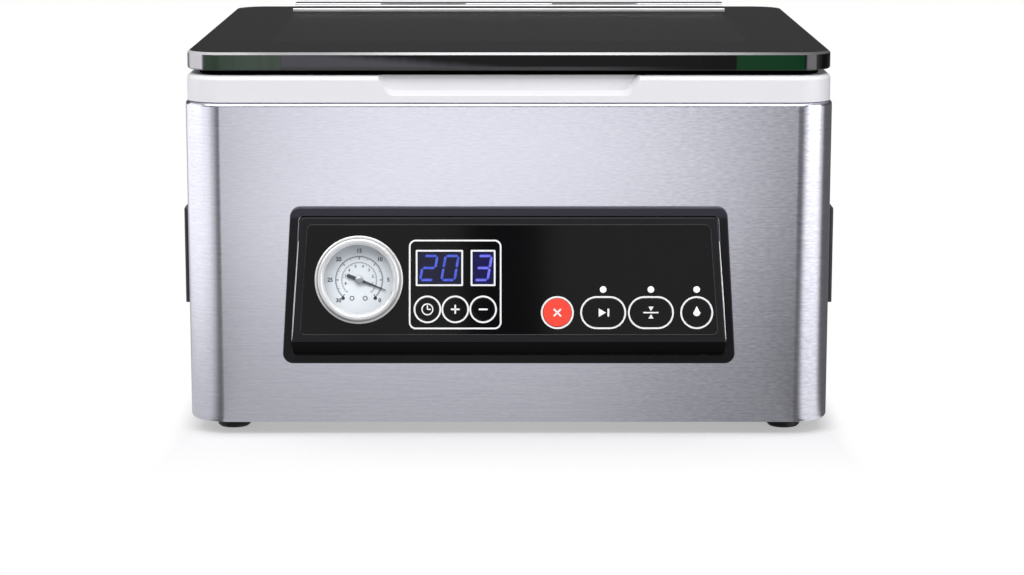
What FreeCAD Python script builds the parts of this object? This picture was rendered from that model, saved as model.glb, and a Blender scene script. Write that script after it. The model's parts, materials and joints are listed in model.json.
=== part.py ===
"""Chamber vacuum sealer: a steel-wrapped kitchen appliance with a hinged glass lid over a drawn
steel chamber, a tilted control panel with a dial gauge on its front, and its pump below the chamber.

Frame: +X right, +Y back, +Z up, millimetres. The front faces -Y. The origin is on the table, under the
middle of the whole part's box.
"""

import FreeCAD
import Part
import math
import os

V = FreeCAD.Vector
X_AXIS, Y_AXIS, Z_AXIS = V(1, 0, 0), V(0, 1, 0), V(0, 0, 1)

# Case
body_width = 380.0
body_depth = 342.0
case_height = 190.0
corner_radius = 22.0
sheet = 1.0
sheet_bend = 2.2
case_lip = 8.0
foot_height = 8.0
foot_radius = 9.8
foot_inset_x = 24.5
foot_inset_y = 30.0
foot_recess_radius = 4.4
foot_recess_depth = 4.0
foot_chamfer = 1.2
foot_taper = 0.8
pan_sheet = 1.5
pan_vent_count = 6
pan_vent_length = 60.0
pan_vent_width = 5.0
pan_vent_pitch = 12.0
rear_sheet = 1.2
rear_margin = 26.0
rear_overlap = 10.0
rear_corner = 6.0
vent_slot_length = 46.0
vent_slot_width = 3.2
vent_slot_pitch = 8.0
vent_slot_count = 9
vent_column_pitch = 69.0

# Fits and fasteners
gap = 0.3
slip = 0.05
seat_gap = 0.15
screw_radius = 2.0
screw_head_radius = 3.5
screw_head_height = 2.0
screw_head_round = 0.8
screw_slot_length = 3.6
screw_slot_width = 0.8
screw_slot_depth = 1.1
screw_length = 8.0

# White deck between the case and the lid
deck_inset = 1.25
deck_seam = 0.4
deck_seam_depth = 2.5
deck_height = 15.5
deck_round = 3.0
deck_skin = 4.0
deck_wall = 3.0
deck_skirt = 7.0
recess_width = 155.0
recess_drop = 12.2
recess_lean = 7.0
recess_depth = 6.0
recess_slope = 3.2
recess_corner = 6.0

# Chamber
chamber_side = 44.0
chamber_front = 46.0
chamber_rear = 46.0
chamber_corner = 20.0
chamber_floor_round = 12.0
chamber_depth = 108.0
shelf_length = 46.0
shelf_depth = 42.0
shelf_round = 6.0
tub_sheet = 1.0
tub_rim = 10.0

# Lid and its hinge
lid_inset = 1.5
glass = 10.5
glass_bevel = 1.4
glass_arris = 0.8
gasket_height = 3.0
gasket_inset = 7.0
gasket_width = 12.0
gasket_round = 1.0
rail_length = 294.0
rail_front_depth = 18.0
rail_front_height = 2.2
rail_depth = 46.0
rail_height = 4.2
rail_round = 0.8
rail_screw_count = 5
rail_screw_pitch = 60.0
rail_screw_edge = 5.0
glass_screw_room = 1.0
knuckle_radius = 5.0
knuckle_gap = 0.6
knuckle_count = 5
hinge_pin_radius = 2.5
hinge_pin_head = 4.0
hinge_leaf = 2.0
hinge_set_back = 6.5
hinge_reach = 5.3
clamp_length = 20.0
clamp_height = 2.2
pad_holder_width = 18.0
pad_holder_height = 3.0
pad_height = 3.0
pad_width = 12.0
pad_seat = 1.0

# Seal bar and its lift
bar_end_room = 12.0
bar_width = 16.0
bar_height = 26.0
bar_round = 2.0
bar_lift = 6.0
bar_set_back = 20.0
bar_groove = 2.0
bar_groove_height = 4.0
bar_groove_drop = 12.0
strip_width = 5.0
strip_height = 0.3
tape_height = 0.3
tape_skirt = 8.0
post_radius = 5.0
post_inset = 39.0
piston_radius = 13.0
piston_height = 6.0
cylinder_wall = 3.0
cylinder_room = 3.0
cylinder_flange = 6.0

# Control panel
panel_top = 129.4
panel_height = 93.0
panel_top_width = 255.0
panel_bottom_width = 267.0
panel_frame_thick = 3.0
panel_frame_width = 5.0
panel_frame_round = 1.0
panel_corner = 6.0
panel_reach = 18.0
panel_nose = 10.0
panel_wall = 2.5
panel_flange = 6.0
panel_groove = 0.6
housing_corner = 3.0
housing_round = 1.2
fascia_thick = 0.8
fascia_sink = 0.4
fascia_margin = 4.6
fascia_corner = 3.0
ring_line = 1.3
key_travel = 0.5
key_proud = 0.4
key_round = 0.3
key_flange = 1.0
key_stem = 2.0
key_stem_radius = 2.5
time_ring_radius = 8.05
mode_ring_radius = 9.6
wide_ring_length = 26.8
window_width = 25.2
window_height = 18.8
window_pitch = 25.5
single_window_width = 12.2
window_rise = 6.95
led_radius = 1.9
switch_rise = 3.5
switch_size = 5.5
board_thick = 1.6
board_boss_radius = 3.0

# Places on the panel face: across and up from the middle of the face
time_key_row = -17.2
time_key_first = -47.5
time_key_pitch = 16.25
mode_key_row = -19.1
cancel_key_x = 28.3
auto_key_x = 55.05
seal_key_x = 82.9
marinate_key_x = 109.6
led_row = -5.6
window_x = -40.5
board_left = -60.0
board_right = 117.5
board_low = -31.0
board_high = 28.0
board_boss_inset = 4.0
board_boss_middle = 67.0

# Dial gauge
gauge_x = -87.4
gauge_ring_height = 8.5
gauge_rim_wall = 0.95
gauge_rim_round = 0.9
gauge_rim_lip = 2.6
gauge_rim_slope = 1.2
gauge_flange_run = 2.1
gauge_flange_height = 3.2
gauge_flange_round = 0.55
gauge_groove = 0.8
lens_lap = 2.3
dial_thick = 1.0
dial_room = 6.5
dial_ledge = 1.6
lens_thick = 1.2
gauge_case_radius = 22.5
gauge_case_wall = 1.5
gauge_case_depth = 26.0
gauge_stem_radius = 5.0
gauge_stem_length = 8.0
movement_radius = 8.0
needle_length = 16.5
needle_tail = 7.5
needle_width = 0.9
needle_tail_width = 2.2
needle_thick = 0.5
needle_lift = 0.9
needle_hub_radius = 2.4
needle_hub_height = 1.5
needle_spindle_radius = 1.0
needle_spindle_length = 8.0
needle_angle = -21.0

# Side grips
grip_length = 120.0
grip_height = 65.0
grip_reach = 13.0
grip_slope = 5.0
grip_wall = 2.5
grip_centre_z = 92.3
grip_corner = 3.5
grip_rim = 8.0
grip_bowl = 18.0
grip_round = 1.5

# Vacuum pump
motor_radius = 34.0
motor_length = 84.0
motor_foot_width = 52.0
motor_foot_length = 56.0
motor_rib_count = 12
motor_rib = 1.6
motor_bell_length = 14.0
crank_radius = 29.0
crank_length = 30.0
piston_block = 34.0
piston_rise = 32.0
head_block = 46.0
head_height = 9.0
fin_count = 5
fin_depth = 4.0
fin_slot = 3.0
fan_radius = 31.0
fan_length = 10.0
fan_hub_radius = 9.0
fan_blades = 7
fan_blade_thick = 1.6
fan_pitch = 35.0
fan_stand_off = 2.0
shaft_radius = 4.0
pump_set_back = 104.0
pump_mount_height = 9.0
pump_mount_radius = 7.0
pump_mount_waist = 5.6
pump_tray_sheet = 2.0
pump_tray_width = 140.0
pump_tray_length = 96.0
pump_mount_inset = 11.0

# Hoses, valves and electrics
hose_radius = 4.0
hose_bore = 2.6
hose_bend = 16.0
barb_length = 12.0
thin_hose_radius = 2.5
thin_hose_bore = 1.4
port_run = 45.0
port_pitch = 20.0
port_size = 18.0
port_height = 12.0
port_flange_radius = 14.0
port_flange_thick = 3.0
port_neck_radius = 6.0
manifold_width = 44.0
manifold_length = 36.0
manifold_height = 38.0
valve_radius = 8.0
valve_height = 26.0
valve_pitch = 18.0
lift_run = 26.7
lift_boss = 8.0
manifold_port_z = 30.0
board_width = 110.0
board_length = 76.0
board_pitch = 105.0
board_set_back = 73.0
standoff_height = 8.0
standoff_radius = 3.0
standoff_inset = 5.0
capacitor_radius = 11.0
capacitor_height = 28.0
capacitor_pitch = 28.6
sink_height = 26.0
transformer_width = 66.0
transformer_length = 56.0
transformer_height = 54.0
transformer_inset = 90.0
winding_swell = 9.0
inlet_inset = 46.0
inlet_z = 58.0
inlet_width = 24.0
inlet_height = 16.5
inlet_depth = 17.0
inlet_wall = 1.6
inlet_chamfer = 4.0
inlet_flange_width = 50.0
inlet_flange_height = 25.0
inlet_flange_thick = 2.0
inlet_screw_pitch = 40.0
pin_width = 2.0
pin_height = 4.2
pin_length = 13.0
pin_pitch = 7.0
pin_offset = 2.0
switch_z = 96.0
rocker_radius = 8.7
rocker_width = 11.4
rocker_sink = 3.0
rocker_face = 4.2
rocker_dip = 2.6
rocker_throw = 20.0
rocker_trunnion = 1.5
switch_wall = 1.5
switch_flange = 2.5
switch_flange_thick = 1.5

# Heights and depths that follow from the sizes above. The gauge's ring on the leaning panel reaches
# furthest forward, and the hinge furthest back.
panel_rim = panel_frame_width + panel_groove
face_rise = panel_height - 2 * panel_rim - panel_nose
face_run = panel_reach - panel_frame_thick
face_length = math.hypot(face_rise, face_run)
face_tilt = math.degrees(math.atan2(face_run, face_rise))
ring_bore = gauge_case_radius + seat_gap
rim_radius = ring_bore + gauge_rim_wall
ring_top = gauge_ring_height - fascia_sink
ring_forward = gauge_rim_round + (ring_top - gauge_rim_round) * face_rise / face_length
ring_drop = (rim_radius - gauge_rim_round) * face_run / face_length
front_reach = max(panel_reach, (panel_reach + panel_frame_thick) / 2 + ring_forward + ring_drop)
overall_depth = front_reach + body_depth + hinge_reach
front_y = front_reach - overall_depth / 2
rear_y = front_y + body_depth
mid_y = (front_y + rear_y) / 2
case_bottom = foot_height
case_top = case_bottom + case_height
pan_bottom = case_bottom + sheet
pan_top = pan_bottom + pan_sheet
deck_bottom = case_top + deck_seam
deck_top = deck_bottom + deck_height
lid_bottom = deck_top + gasket_height
lid_top = lid_bottom + glass
hinge_y = rear_y + hinge_reach - knuckle_radius
hinge_z = lid_bottom + glass / 2
lid_front_y = front_y + lid_inset
lid_rear_y = hinge_y - hinge_set_back
lid_length = lid_rear_y - lid_front_y
lid_mid_y = (lid_front_y + lid_rear_y) / 2
lid_width = body_width - 2 * lid_inset
lid_corner = corner_radius - lid_inset
chamber_width = body_width - 2 * chamber_side
chamber_y0 = front_y + chamber_front
chamber_y1 = rear_y - chamber_rear
chamber_length = chamber_y1 - chamber_y0
chamber_mid_y = (chamber_y0 + chamber_y1) / 2
shelf_z = deck_top - shelf_depth
floor_z = deck_top - chamber_depth
bar_length = chamber_width - 2 * bar_end_room
post_spread = bar_length - 2 * post_inset
bar_y = chamber_y0 + bar_set_back
pad_bottom = lid_bottom - pad_holder_height - pad_height
bar_top = pad_bottom - gap - bar_lift - strip_height - tape_height
bar_bottom = bar_top - bar_height
rear_outside_y = rear_y + rear_sheet
rear_width = body_width - 2 * rear_margin
inlet_x = rear_width / 2 - inlet_inset
pump_y = rear_y - pump_set_back
cylinder_bore = piston_radius + gap
cylinder_radius = cylinder_bore + cylinder_wall
lift_face_x = -post_spread / 2 - cylinder_radius - lift_boss / 4
lift_line_x = lift_face_x - lift_run
port_x = lift_line_x + port_pitch
manifold_x = (port_x + lift_line_x) / 2
manifold_front = pump_y - manifold_length / 2
port_y = manifold_front - port_run
transformer_x = body_width / 2 - transformer_inset
board_x = transformer_x - board_pitch
board_y = front_y + board_set_back


# Shape helpers
def box(x0, x1, y0, y1, z0, z1):
    return Part.makeBox(x1 - x0, y1 - y0, z1 - z0, V(x0, y0, z0))


def centred_box(width, length, height, centre_x, centre_y, z0):
    return box(centre_x - width / 2, centre_x + width / 2,
               centre_y - length / 2, centre_y + length / 2, z0, z0 + height)


def rod(radius, start, along, length):
    return Part.makeCylinder(radius, length, start, along)


def rounded_outline(width, length, radius, centre_x=0.0, centre_y=0.0, z=0.0):
    """A closed wire: a rectangle with round corners, in a level plane."""
    hx, hy = width / 2, length / 2
    radius = min(radius, 0.999 * min(hx, hy))
    slant = radius * (1 - math.sqrt(0.5))
    edges = []
    corners = [(1, -1), (1, 1), (-1, 1), (-1, -1)]

    def point(x, y):
        return V(centre_x + x, centre_y + y, z)

    for i, (sx, sy) in enumerate(corners):
        before = (sx * (hx - radius), sy * hy)
        after = (sx * hx, sy * (hy - radius))
        if i % 2:
            before, after = after, before
        middle = (sx * (hx - slant), sy * (hy - slant))
        edges.append(Part.Arc(point(*before), point(*middle), point(*after)).toShape())
        nx, ny = corners[(i + 1) % 4]
        turn = (nx * (hx - radius), ny * hy) if i % 2 else (nx * hx, ny * (hy - radius))
        edges.append(Part.LineSegment(point(*after), point(*turn)).toShape())
    return Part.Wire(edges)


def rounded_prism(width, length, radius, z0, z1, centre_x=0.0, centre_y=0.0):
    face = Part.Face(rounded_outline(width, length, radius, centre_x, centre_y, z0))
    return face.extrude(V(0, 0, z1 - z0))


def upright_prism(width, height, radius, y0, y1, centre_x, centre_z):
    """A rounded rectangle that stands in the XZ plane, carried from y0 to y1."""
    flat = rounded_prism(width, height, radius, -y1, -y0, centre_x, centre_z)
    return flat.rotate(V(0, 0, 0), X_AXIS, 90)


def side_prism(length, height, radius, x0, x1, centre_y, centre_z):
    """A rounded rectangle that stands in the YZ plane, carried from x0 to x1."""
    upright = upright_prism(length, height, radius, -x1, -x0, centre_y, centre_z)
    return upright.rotate(V(0, 0, 0), Z_AXIS, 90)


def edges_at(solid, axis, value):
    """The edges of a solid that lie in the plane where one coordinate, X, Y or Z, has the value."""
    found = []
    for e in solid.Edges:
        low = getattr(e.BoundBox, axis + "Min")
        high = getattr(e.BoundBox, axis + "Max")
        if abs(low - value) < 1e-3 and abs(high - value) < 1e-3:
            found.append(e)
    return found


def polygon_prism(points, along):
    """The prism over a closed polygon, given as vectors, carried along a vector."""
    return Part.Face(Part.makePolygon(points + points[:1])).extrude(along)


def edges_along(solid, direction):
    """The straight edges of a solid that run along a direction."""
    found = []
    for e in solid.Edges:
        if len(e.Vertexes) == 2:
            run = e.Vertexes[1].Point - e.Vertexes[0].Point
            if run.Length > 1e-6 and run.normalize().cross(direction).Length < 1e-3:
                found.append(e)
    return found


def revolved(profile, centre, along, about):
    """A solid of revolution: its profile is (radius, height) points, with height along the axis."""
    points = [centre + about * r + along * h for r, h in profile]
    face = Part.Face(Part.makePolygon(points + points[:1]))
    return face.revolve(centre, along, 360)


def fuse(shapes):
    whole = shapes[0]
    if len(shapes) > 1:
        whole = whole.multiFuse(list(shapes[1:]))
    return whole.removeSplitter()


def route(points, bend):
    """A wire of straight runs joined by tangent arcs."""
    edges = []
    here = points[0]
    for a, b, c in zip(points, points[1:], points[2:]):
        back, ahead = (a - b).normalize(), (c - b).normalize()
        half = back.getAngle(ahead) / 2
        reach = bend / math.tan(half)
        start, end = b + back * reach, b + ahead * reach
        bisector = (back + ahead).normalize()
        middle = b + bisector * (bend / math.sin(half) - bend)
        edges.append(Part.LineSegment(here, start).toShape())
        edges.append(Part.Arc(start, middle, end).toShape())
        here = end
    edges.append(Part.LineSegment(here, points[-1]).toShape())
    return Part.Wire(edges)


def hose(points, bend, radius, bore):
    """A hollow tube along a route."""
    path = route(points, bend)
    first = (points[1] - points[0]).normalize()

    def swept(r):
        ring = Part.Wire(Part.makeCircle(r, points[0], first))
        return path.makePipeShell([ring], True, False)

    return swept(radius).cut(swept(bore))


def pan_head_screw(seat, along, length):
    """A cross-slotted screw whose head sits on the seat point, with its shank along a direction."""
    head = rod(screw_head_radius, V(0, 0, -screw_head_height), Z_AXIS, screw_head_height)
    head = head.makeFillet(screw_head_round, edges_at(head, "Z", -screw_head_height))
    slots = [centred_box(screw_slot_length, screw_slot_width, screw_slot_depth, 0, 0, -screw_head_height),
             centred_box(screw_slot_width, screw_slot_length, screw_slot_depth, 0, 0, -screw_head_height)]
    screw = head.fuse(rod(screw_radius, V(0, 0, 0), Z_AXIS, length)).cut(slots)
    screw.Placement = FreeCAD.Placement(seat, FreeCAD.Rotation(Z_AXIS, along))
    return screw


parts = {}


def add(name, shape):
    parts[name] = shape


# Control panel's frame of reference: a face that leans out from its top edge to its lower nose
panel_top_z = case_bottom + panel_top
panel_bottom_z = panel_top_z - panel_height
housing_top_z = panel_top_z - panel_rim
housing_bottom_z = panel_bottom_z + panel_rim
lip_y = front_y - panel_frame_thick
nose_y = front_y - panel_reach
nose_z = housing_bottom_z + panel_nose
face_middle = V(0, (lip_y + nose_y) / 2, (housing_top_z + nose_z) / 2)
panel_place = FreeCAD.Placement(face_middle, FreeCAD.Rotation(X_AXIS, 90 - face_tilt))
flange_back_y = front_y + sheet + panel_wall
fascia_top = -fascia_sink
fascia_bottom = fascia_top - fascia_thick
board_front = -(panel_wall + key_flange + key_stem + key_travel + gap + switch_rise)


def on_panel(shape):
    """Carries a shape from flat face coordinates (across, up, out) to the leaning panel."""
    placed = shape.copy()
    placed.Placement = panel_place.multiply(placed.Placement)
    return placed


def panel_point(across, up, out):
    return panel_place.multVec(V(across, up, out))


def panel_half_width(z):
    """Half the width of the trim frame at a height: it widens evenly towards the bottom."""
    share = (panel_top_z - z) / panel_height
    return (panel_top_width + (panel_bottom_width - panel_top_width) * share) / 2


def panel_prism(inset, corner, y0, y1):
    """The panel's outline drawn in by an inset, with round corners, carried from y0 to y1."""
    top, bottom = panel_top_z - inset, panel_bottom_z + inset
    wide, narrow = panel_half_width(bottom) - inset, panel_half_width(top) - inset
    corners = [V(-wide, y0, bottom), V(wide, y0, bottom), V(narrow, y0, top), V(-narrow, y0, top)]
    prism = polygon_prism(corners, V(0, y1 - y0, 0))
    return prism.makeFillet(corner, edges_along(prism, Y_AXIS))


def fascia_prism(grow, out0, out1):
    """The overlay's outline on the leaning face, in flat face coordinates."""
    reach = face_length / 2 - fascia_margin
    corners = []
    for up in (-reach, reach):
        z = panel_point(0, up, 0).z
        half = panel_half_width(z) - panel_rim - fascia_margin + grow
        side = math.copysign(reach + grow, up)
        pair = [V(-half, side, out0), V(half, side, out0)]
        corners += pair if up < 0 else pair[::-1]
    prism = polygon_prism(corners, V(0, 0, out1 - out0))
    return prism.makeFillet(fascia_corner + grow, edges_along(prism, Z_AXIS))


# Keys: place on the face, and the length and height of the printed line round each
time_row = [("key_set", 0), ("key_plus", 1), ("key_minus", 2)]
keys = {name: (time_key_first + i * time_key_pitch, time_key_row, 2 * time_ring_radius, 2 * time_ring_radius)
        for name, i in time_row}
keys["key_cancel"] = (cancel_key_x, mode_key_row, 2 * mode_ring_radius, 2 * mode_ring_radius)
keys["key_auto"] = (auto_key_x, mode_key_row, wide_ring_length, 2 * mode_ring_radius)
keys["key_seal"] = (seal_key_x, mode_key_row, wide_ring_length, 2 * mode_ring_radius)
keys["key_marinate"] = (marinate_key_x, mode_key_row, 2 * mode_ring_radius, 2 * mode_ring_radius)
lights = [auto_key_x, seal_key_x, marinate_key_x]
windows = [(window_x, window_width), (window_x + window_pitch, single_window_width)]


def key_prism(name, grow, out0, out1):
    """A key's outline, inside its printed line, grown all round and carried from out0 to out1."""
    x, up, length, height = keys[name]
    trim = 2 * (grow - ring_line)
    return rounded_prism(length + trim, height + trim, (height + trim) / 2, out0, out1, x, up)


# Steel wall of the case, with rolled edges and lips above and below
outer = rounded_prism(body_width, body_depth, corner_radius, case_bottom, case_top, 0, mid_y)
outer = outer.makeFillet(sheet_bend, edges_at(outer, "Z", case_bottom) + edges_at(outer, "Z", case_top))
inner = rounded_prism(body_width - 2 * sheet, body_depth - 2 * sheet, corner_radius - sheet,
                      case_bottom + sheet, case_top - sheet, 0, mid_y)
inner = inner.makeFillet(sheet_bend - sheet,
                         edges_at(inner, "Z", case_bottom + sheet) + edges_at(inner, "Z", case_top - sheet))
mouth = rounded_prism(body_width - 2 * case_lip, body_depth - 2 * case_lip, corner_radius - case_lip,
                      case_bottom, case_top, 0, mid_y)
bowl_length = grip_length - 2 * grip_rim
bowl_height = grip_height - 2 * grip_rim
bowl_corner = max(grip_corner - grip_wall, grip_wall)
rear_height = case_height - 2 * rear_margin
rear_mid_z = (case_bottom + case_top) / 2
window_inset = 2 * rear_overlap
wall_cuts = [panel_prism(panel_rim - gap, housing_corner + gap, front_y - sheet, front_y + 2 * sheet)]
wall_cuts.append(upright_prism(rear_width - window_inset, rear_height - window_inset, rear_corner,
                               rear_y - 2 * sheet, rear_y + sheet, 0, rear_mid_z))
wall_cuts.append(side_prism(bowl_length + 2 * gap, bowl_height + 2 * gap, bowl_corner + gap,
                            -body_width / 2 - sheet, body_width / 2 + sheet, mid_y, grip_centre_z))
add("steel_wrapper", outer.cut(inner).cut(mouth).cut(wall_cuts))

# Floor plate on the wall's bottom lip, with pressed standoffs for the power board
pan_inset = sheet_bend + gap
foot_places = [(sx * (body_width / 2 - foot_inset_x), mid_y + sy * (body_depth / 2 - foot_inset_y))
               for sx in (-1, 1) for sy in (-1, 1)]
pan = rounded_prism(body_width - 2 * pan_inset, body_depth - 2 * pan_inset, corner_radius - pan_inset,
                    pan_bottom, pan_top, 0, mid_y)
standoffs = []
for sx in (-1, 1):
    for sy in (-1, 1):
        x = board_x + sx * (board_width / 2 - standoff_inset)
        y = board_y + sy * (board_length / 2 - standoff_inset)
        standoffs.append(rod(standoff_radius, V(x, y, pan_bottom), Z_AXIS, pan_sheet + standoff_height))
pan = fuse([pan] + standoffs)
pan_cuts = [rod(screw_radius + slip, V(x, y, pan_bottom), Z_AXIS, pan_sheet) for x, y in foot_places]
for i in range(pan_vent_count):
    y = mid_y + (i - (pan_vent_count - 1) / 2) * pan_vent_pitch
    pan_cuts.append(rounded_prism(pan_vent_length, pan_vent_width, pan_vent_width / 2,
                                  pan_bottom, pan_top, 0, y))
add("base_pan", pan.cut(pan_cuts))

# Rubber feet under the floor plate, each with its screw
feet = []
foot_screws = []
for x, y in foot_places:
    profile = [(foot_recess_radius, 0), (foot_radius - foot_chamfer, 0), (foot_radius, foot_chamfer),
               (foot_radius - foot_taper, pan_bottom), (screw_radius + slip, pan_bottom),
               (screw_radius + slip, foot_recess_depth), (foot_recess_radius, foot_recess_depth)]
    feet.append(revolved(profile, V(x, y, 0), Z_AXIS, X_AXIS))
    foot_screws.append(pan_head_screw(V(x, y, foot_recess_depth), Z_AXIS, screw_length))
add("rubber_feet", Part.makeCompound(feet))
add("foot_screws", Part.makeCompound(foot_screws))

# Rear cover plate with vent slots, the inlet's hole and the switch's hole
switch_bore = rocker_radius + gap
switch_body_width = rocker_width + 2 * gap + 2 * switch_wall
switch_body_height = 2 * (switch_bore + switch_wall)
inlet_body_width = inlet_width + 2 * inlet_wall
inlet_body_height = inlet_height + 2 * inlet_wall
cover = upright_prism(rear_width, rear_height, rear_corner, rear_y, rear_outside_y, 0, rear_mid_z)
cover_cuts = [
    upright_prism(inlet_body_width + 2 * gap, inlet_body_height + 2 * gap, inlet_wall, rear_y, rear_outside_y,
                  inlet_x, inlet_z),
    upright_prism(switch_body_width + 2 * gap, switch_body_height + 2 * gap, switch_wall, rear_y,
                  rear_outside_y, inlet_x, switch_z)]
for column in (-1, 0):
    x = column * vent_column_pitch
    for i in range(vent_slot_count):
        z = rear_mid_z + (i - (vent_slot_count - 1) / 2) * vent_slot_pitch
        cover_cuts.append(upright_prism(vent_slot_length, vent_slot_width, vent_slot_width / 2,
                                        rear_y, rear_outside_y, x, z))
cover_screws = []
cover_screw_x = rear_width / 2 - rear_overlap / 2
cover_screw_z = rear_height / 2 - rear_overlap / 2
for sx in (-1, 0, 1):
    for sz in (-1, 1):
        seat = V(sx * cover_screw_x, rear_outside_y, rear_mid_z + sz * cover_screw_z)
        cover_screws.append(pan_head_screw(seat, -Y_AXIS, screw_length))
        hole = rod(screw_radius + slip, seat, -Y_AXIS, screw_length)
        cover_cuts.append(hole)
        parts["steel_wrapper"] = parts["steel_wrapper"].cut(hole)
add("rear_panel", cover.cut(cover_cuts))

# Deck: a white moulding on the case's top lip, hollow below, with a finger recess at its front
deck = rounded_prism(body_width - 2 * deck_inset, body_depth - 2 * deck_inset, corner_radius - deck_inset,
                     deck_bottom, deck_top, 0, mid_y)
deck = deck.makeFillet(deck_round, edges_at(deck, "Z", deck_top))
seat_inset = deck_inset + deck_seam_depth
skirt_inset = case_lip + gap
deck_seat = rounded_prism(body_width - 2 * seat_inset, body_depth - 2 * seat_inset,
                          corner_radius - seat_inset, case_top, deck_bottom, 0, mid_y)
skirt = rounded_prism(body_width - 2 * skirt_inset, body_depth - 2 * skirt_inset,
                      corner_radius - skirt_inset, case_top - deck_skirt, case_top, 0, mid_y)
pocket_inset = skirt_inset + deck_wall
pocket = rounded_prism(body_width - 2 * pocket_inset, body_depth - 2 * pocket_inset,
                       corner_radius - pocket_inset, case_top - deck_skirt, deck_top - deck_skin, 0, mid_y)
collar_grow = 2 * (tub_sheet + gap + deck_wall)
collar = rounded_prism(chamber_width + collar_grow, chamber_length + collar_grow,
                       chamber_corner + collar_grow / 2, case_top - deck_skirt, deck_top, 0, chamber_mid_y)
opening_grow = 2 * (tub_sheet + gap)
opening = rounded_prism(chamber_width + opening_grow, chamber_length + opening_grow,
                        chamber_corner + opening_grow / 2, case_top - deck_skirt, deck_top, 0, chamber_mid_y)
rim_grow = 2 * (tub_rim + gap)
rebate = rounded_prism(chamber_width + rim_grow, chamber_length + rim_grow, chamber_corner + rim_grow / 2,
                       deck_top - tub_sheet, deck_top, 0, chamber_mid_y)


def recess_outline(y, rise, narrow):
    """The finger recess in one upright plane: open at its top, with leaning sides and round lower corners."""
    half = recess_width / 2 - narrow
    up = deck_top + sheet
    low = deck_top - recess_drop + rise
    lean = recess_lean / recess_drop
    side_angle = math.atan(lean)
    turn = math.pi / 4 - side_angle / 2
    reach = recess_corner * math.tan(turn)
    foot = half - (recess_drop - rise) * lean
    ends = []
    for s in (-1, 1):
        centre = V(s * (foot - reach), y, low + recess_corner)
        ends.append([V(s * (half + sheet * lean), y, up),
                     centre + V(s * math.cos(side_angle), 0, -math.sin(side_angle)) * recess_corner,
                     centre + V(s * math.sin(turn), 0, -math.cos(turn)) * recess_corner,
                     V(s * (foot - reach), y, low)])
    left, right = ends
    edges = [Part.LineSegment(left[0], left[1]).toShape(), Part.Arc(*left[1:]).toShape(),
             Part.LineSegment(left[3], right[3]).toShape(), Part.Arc(*right[:0:-1]).toShape(),
             Part.LineSegment(right[1], right[0]).toShape(), Part.LineSegment(right[0], left[0]).toShape()]
    return Part.Wire(edges)


recess = Part.makeLoft([recess_outline(front_y, 0, 0),
                        recess_outline(front_y + deck_inset + recess_depth, recess_slope, recess_slope)],
                       True, True)
deck = fuse([deck, deck_seat, skirt])
deck = deck.cut(pocket.cut(collar)).cut([opening, rebate, recess])


# Chamber: a drawn steel tub with a deep well and, at its front, a shelf for the seal bar
def tub_form(grow):
    upper = rounded_prism(chamber_width + 2 * grow, chamber_length + 2 * grow, chamber_corner + grow,
                          shelf_z - grow, deck_top, 0, chamber_mid_y)
    upper = upper.makeFillet(shelf_round + grow, edges_at(upper, "Z", shelf_z - grow))
    well_length = chamber_length - shelf_length
    well = rounded_prism(chamber_width + 2 * grow, well_length + 2 * grow, chamber_corner + grow,
                         floor_z - grow, deck_top, 0, chamber_y1 - well_length / 2)
    well = well.makeFillet(chamber_floor_round + grow, edges_at(well, "Z", floor_z - grow))
    return fuse([upper, well])


rim = rounded_prism(chamber_width + 2 * tub_rim, chamber_length + 2 * tub_rim, chamber_corner + tub_rim,
                    deck_top - tub_sheet, deck_top, 0, chamber_mid_y)
post_places = [V(-post_spread / 2, bar_y, 0), V(post_spread / 2, bar_y, 0)]
tub_cuts = [rod(post_radius + gap, place + Z_AXIS * (shelf_z - tub_sheet), Z_AXIS, tub_sheet)
            for place in post_places]
tub_cuts.append(rod(port_neck_radius + slip, V(port_x, port_y, floor_z - tub_sheet), Z_AXIS, tub_sheet))
add("chamber_tub", fuse([tub_form(tub_sheet), rim]).cut(tub_form(0)).cut(tub_cuts))

# Lid: thick glass with bevelled edges, and the gasket below it
glass_plate = rounded_prism(lid_width, lid_length, lid_corner, lid_bottom, lid_top, 0, lid_mid_y)
glass_plate = glass_plate.makeChamfer(glass_bevel, edges_at(glass_plate, "Z", lid_top))
glass_plate = glass_plate.makeChamfer(glass_arris, edges_at(glass_plate, "Z", lid_bottom))
gasket_hole = gasket_inset + gasket_width
gasket = rounded_prism(lid_width - 2 * gasket_inset, lid_length - 2 * gasket_inset,
                       lid_corner - gasket_inset, deck_top, lid_bottom, 0, lid_mid_y)
gasket = gasket.cut(rounded_prism(lid_width - 2 * gasket_hole, lid_length - 2 * gasket_hole,
                                  lid_corner - gasket_inset, deck_top, lid_bottom, 0, lid_mid_y))
gasket = gasket.makeFillet(gasket_round, edges_at(gasket, "Z", deck_top))
add("lid_gasket", gasket)

# Hinge rail on the glass: a stepped bar with knuckles behind it
half_rail = rail_length / 2
rail_rear_y = hinge_y - knuckle_radius - 2 * gap
rail_front_y = rail_rear_y - rail_depth
step_y = rail_front_y + rail_front_depth
low_z, high_z = lid_top + rail_front_height, lid_top + rail_height
section = [V(-half_rail, rail_front_y, lid_top), V(-half_rail, rail_front_y, low_z),
           V(-half_rail, step_y, low_z), V(-half_rail, step_y, high_z),
           V(-half_rail, rail_rear_y, high_z), V(-half_rail, rail_rear_y, lid_top)]
rail = polygon_prism(section, X_AXIS * rail_length)
rail = rail.makeFillet(rail_round, [e for e in edges_along(rail, X_AXIS) if e.BoundBox.ZMin > lid_top + slip])
knuckle_pitch = rail_length / knuckle_count
knuckle_length = knuckle_pitch - knuckle_gap
axis_start = V(-half_rail, hinge_y, hinge_z)
leaf_front_y = rear_y - deck_inset
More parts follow.
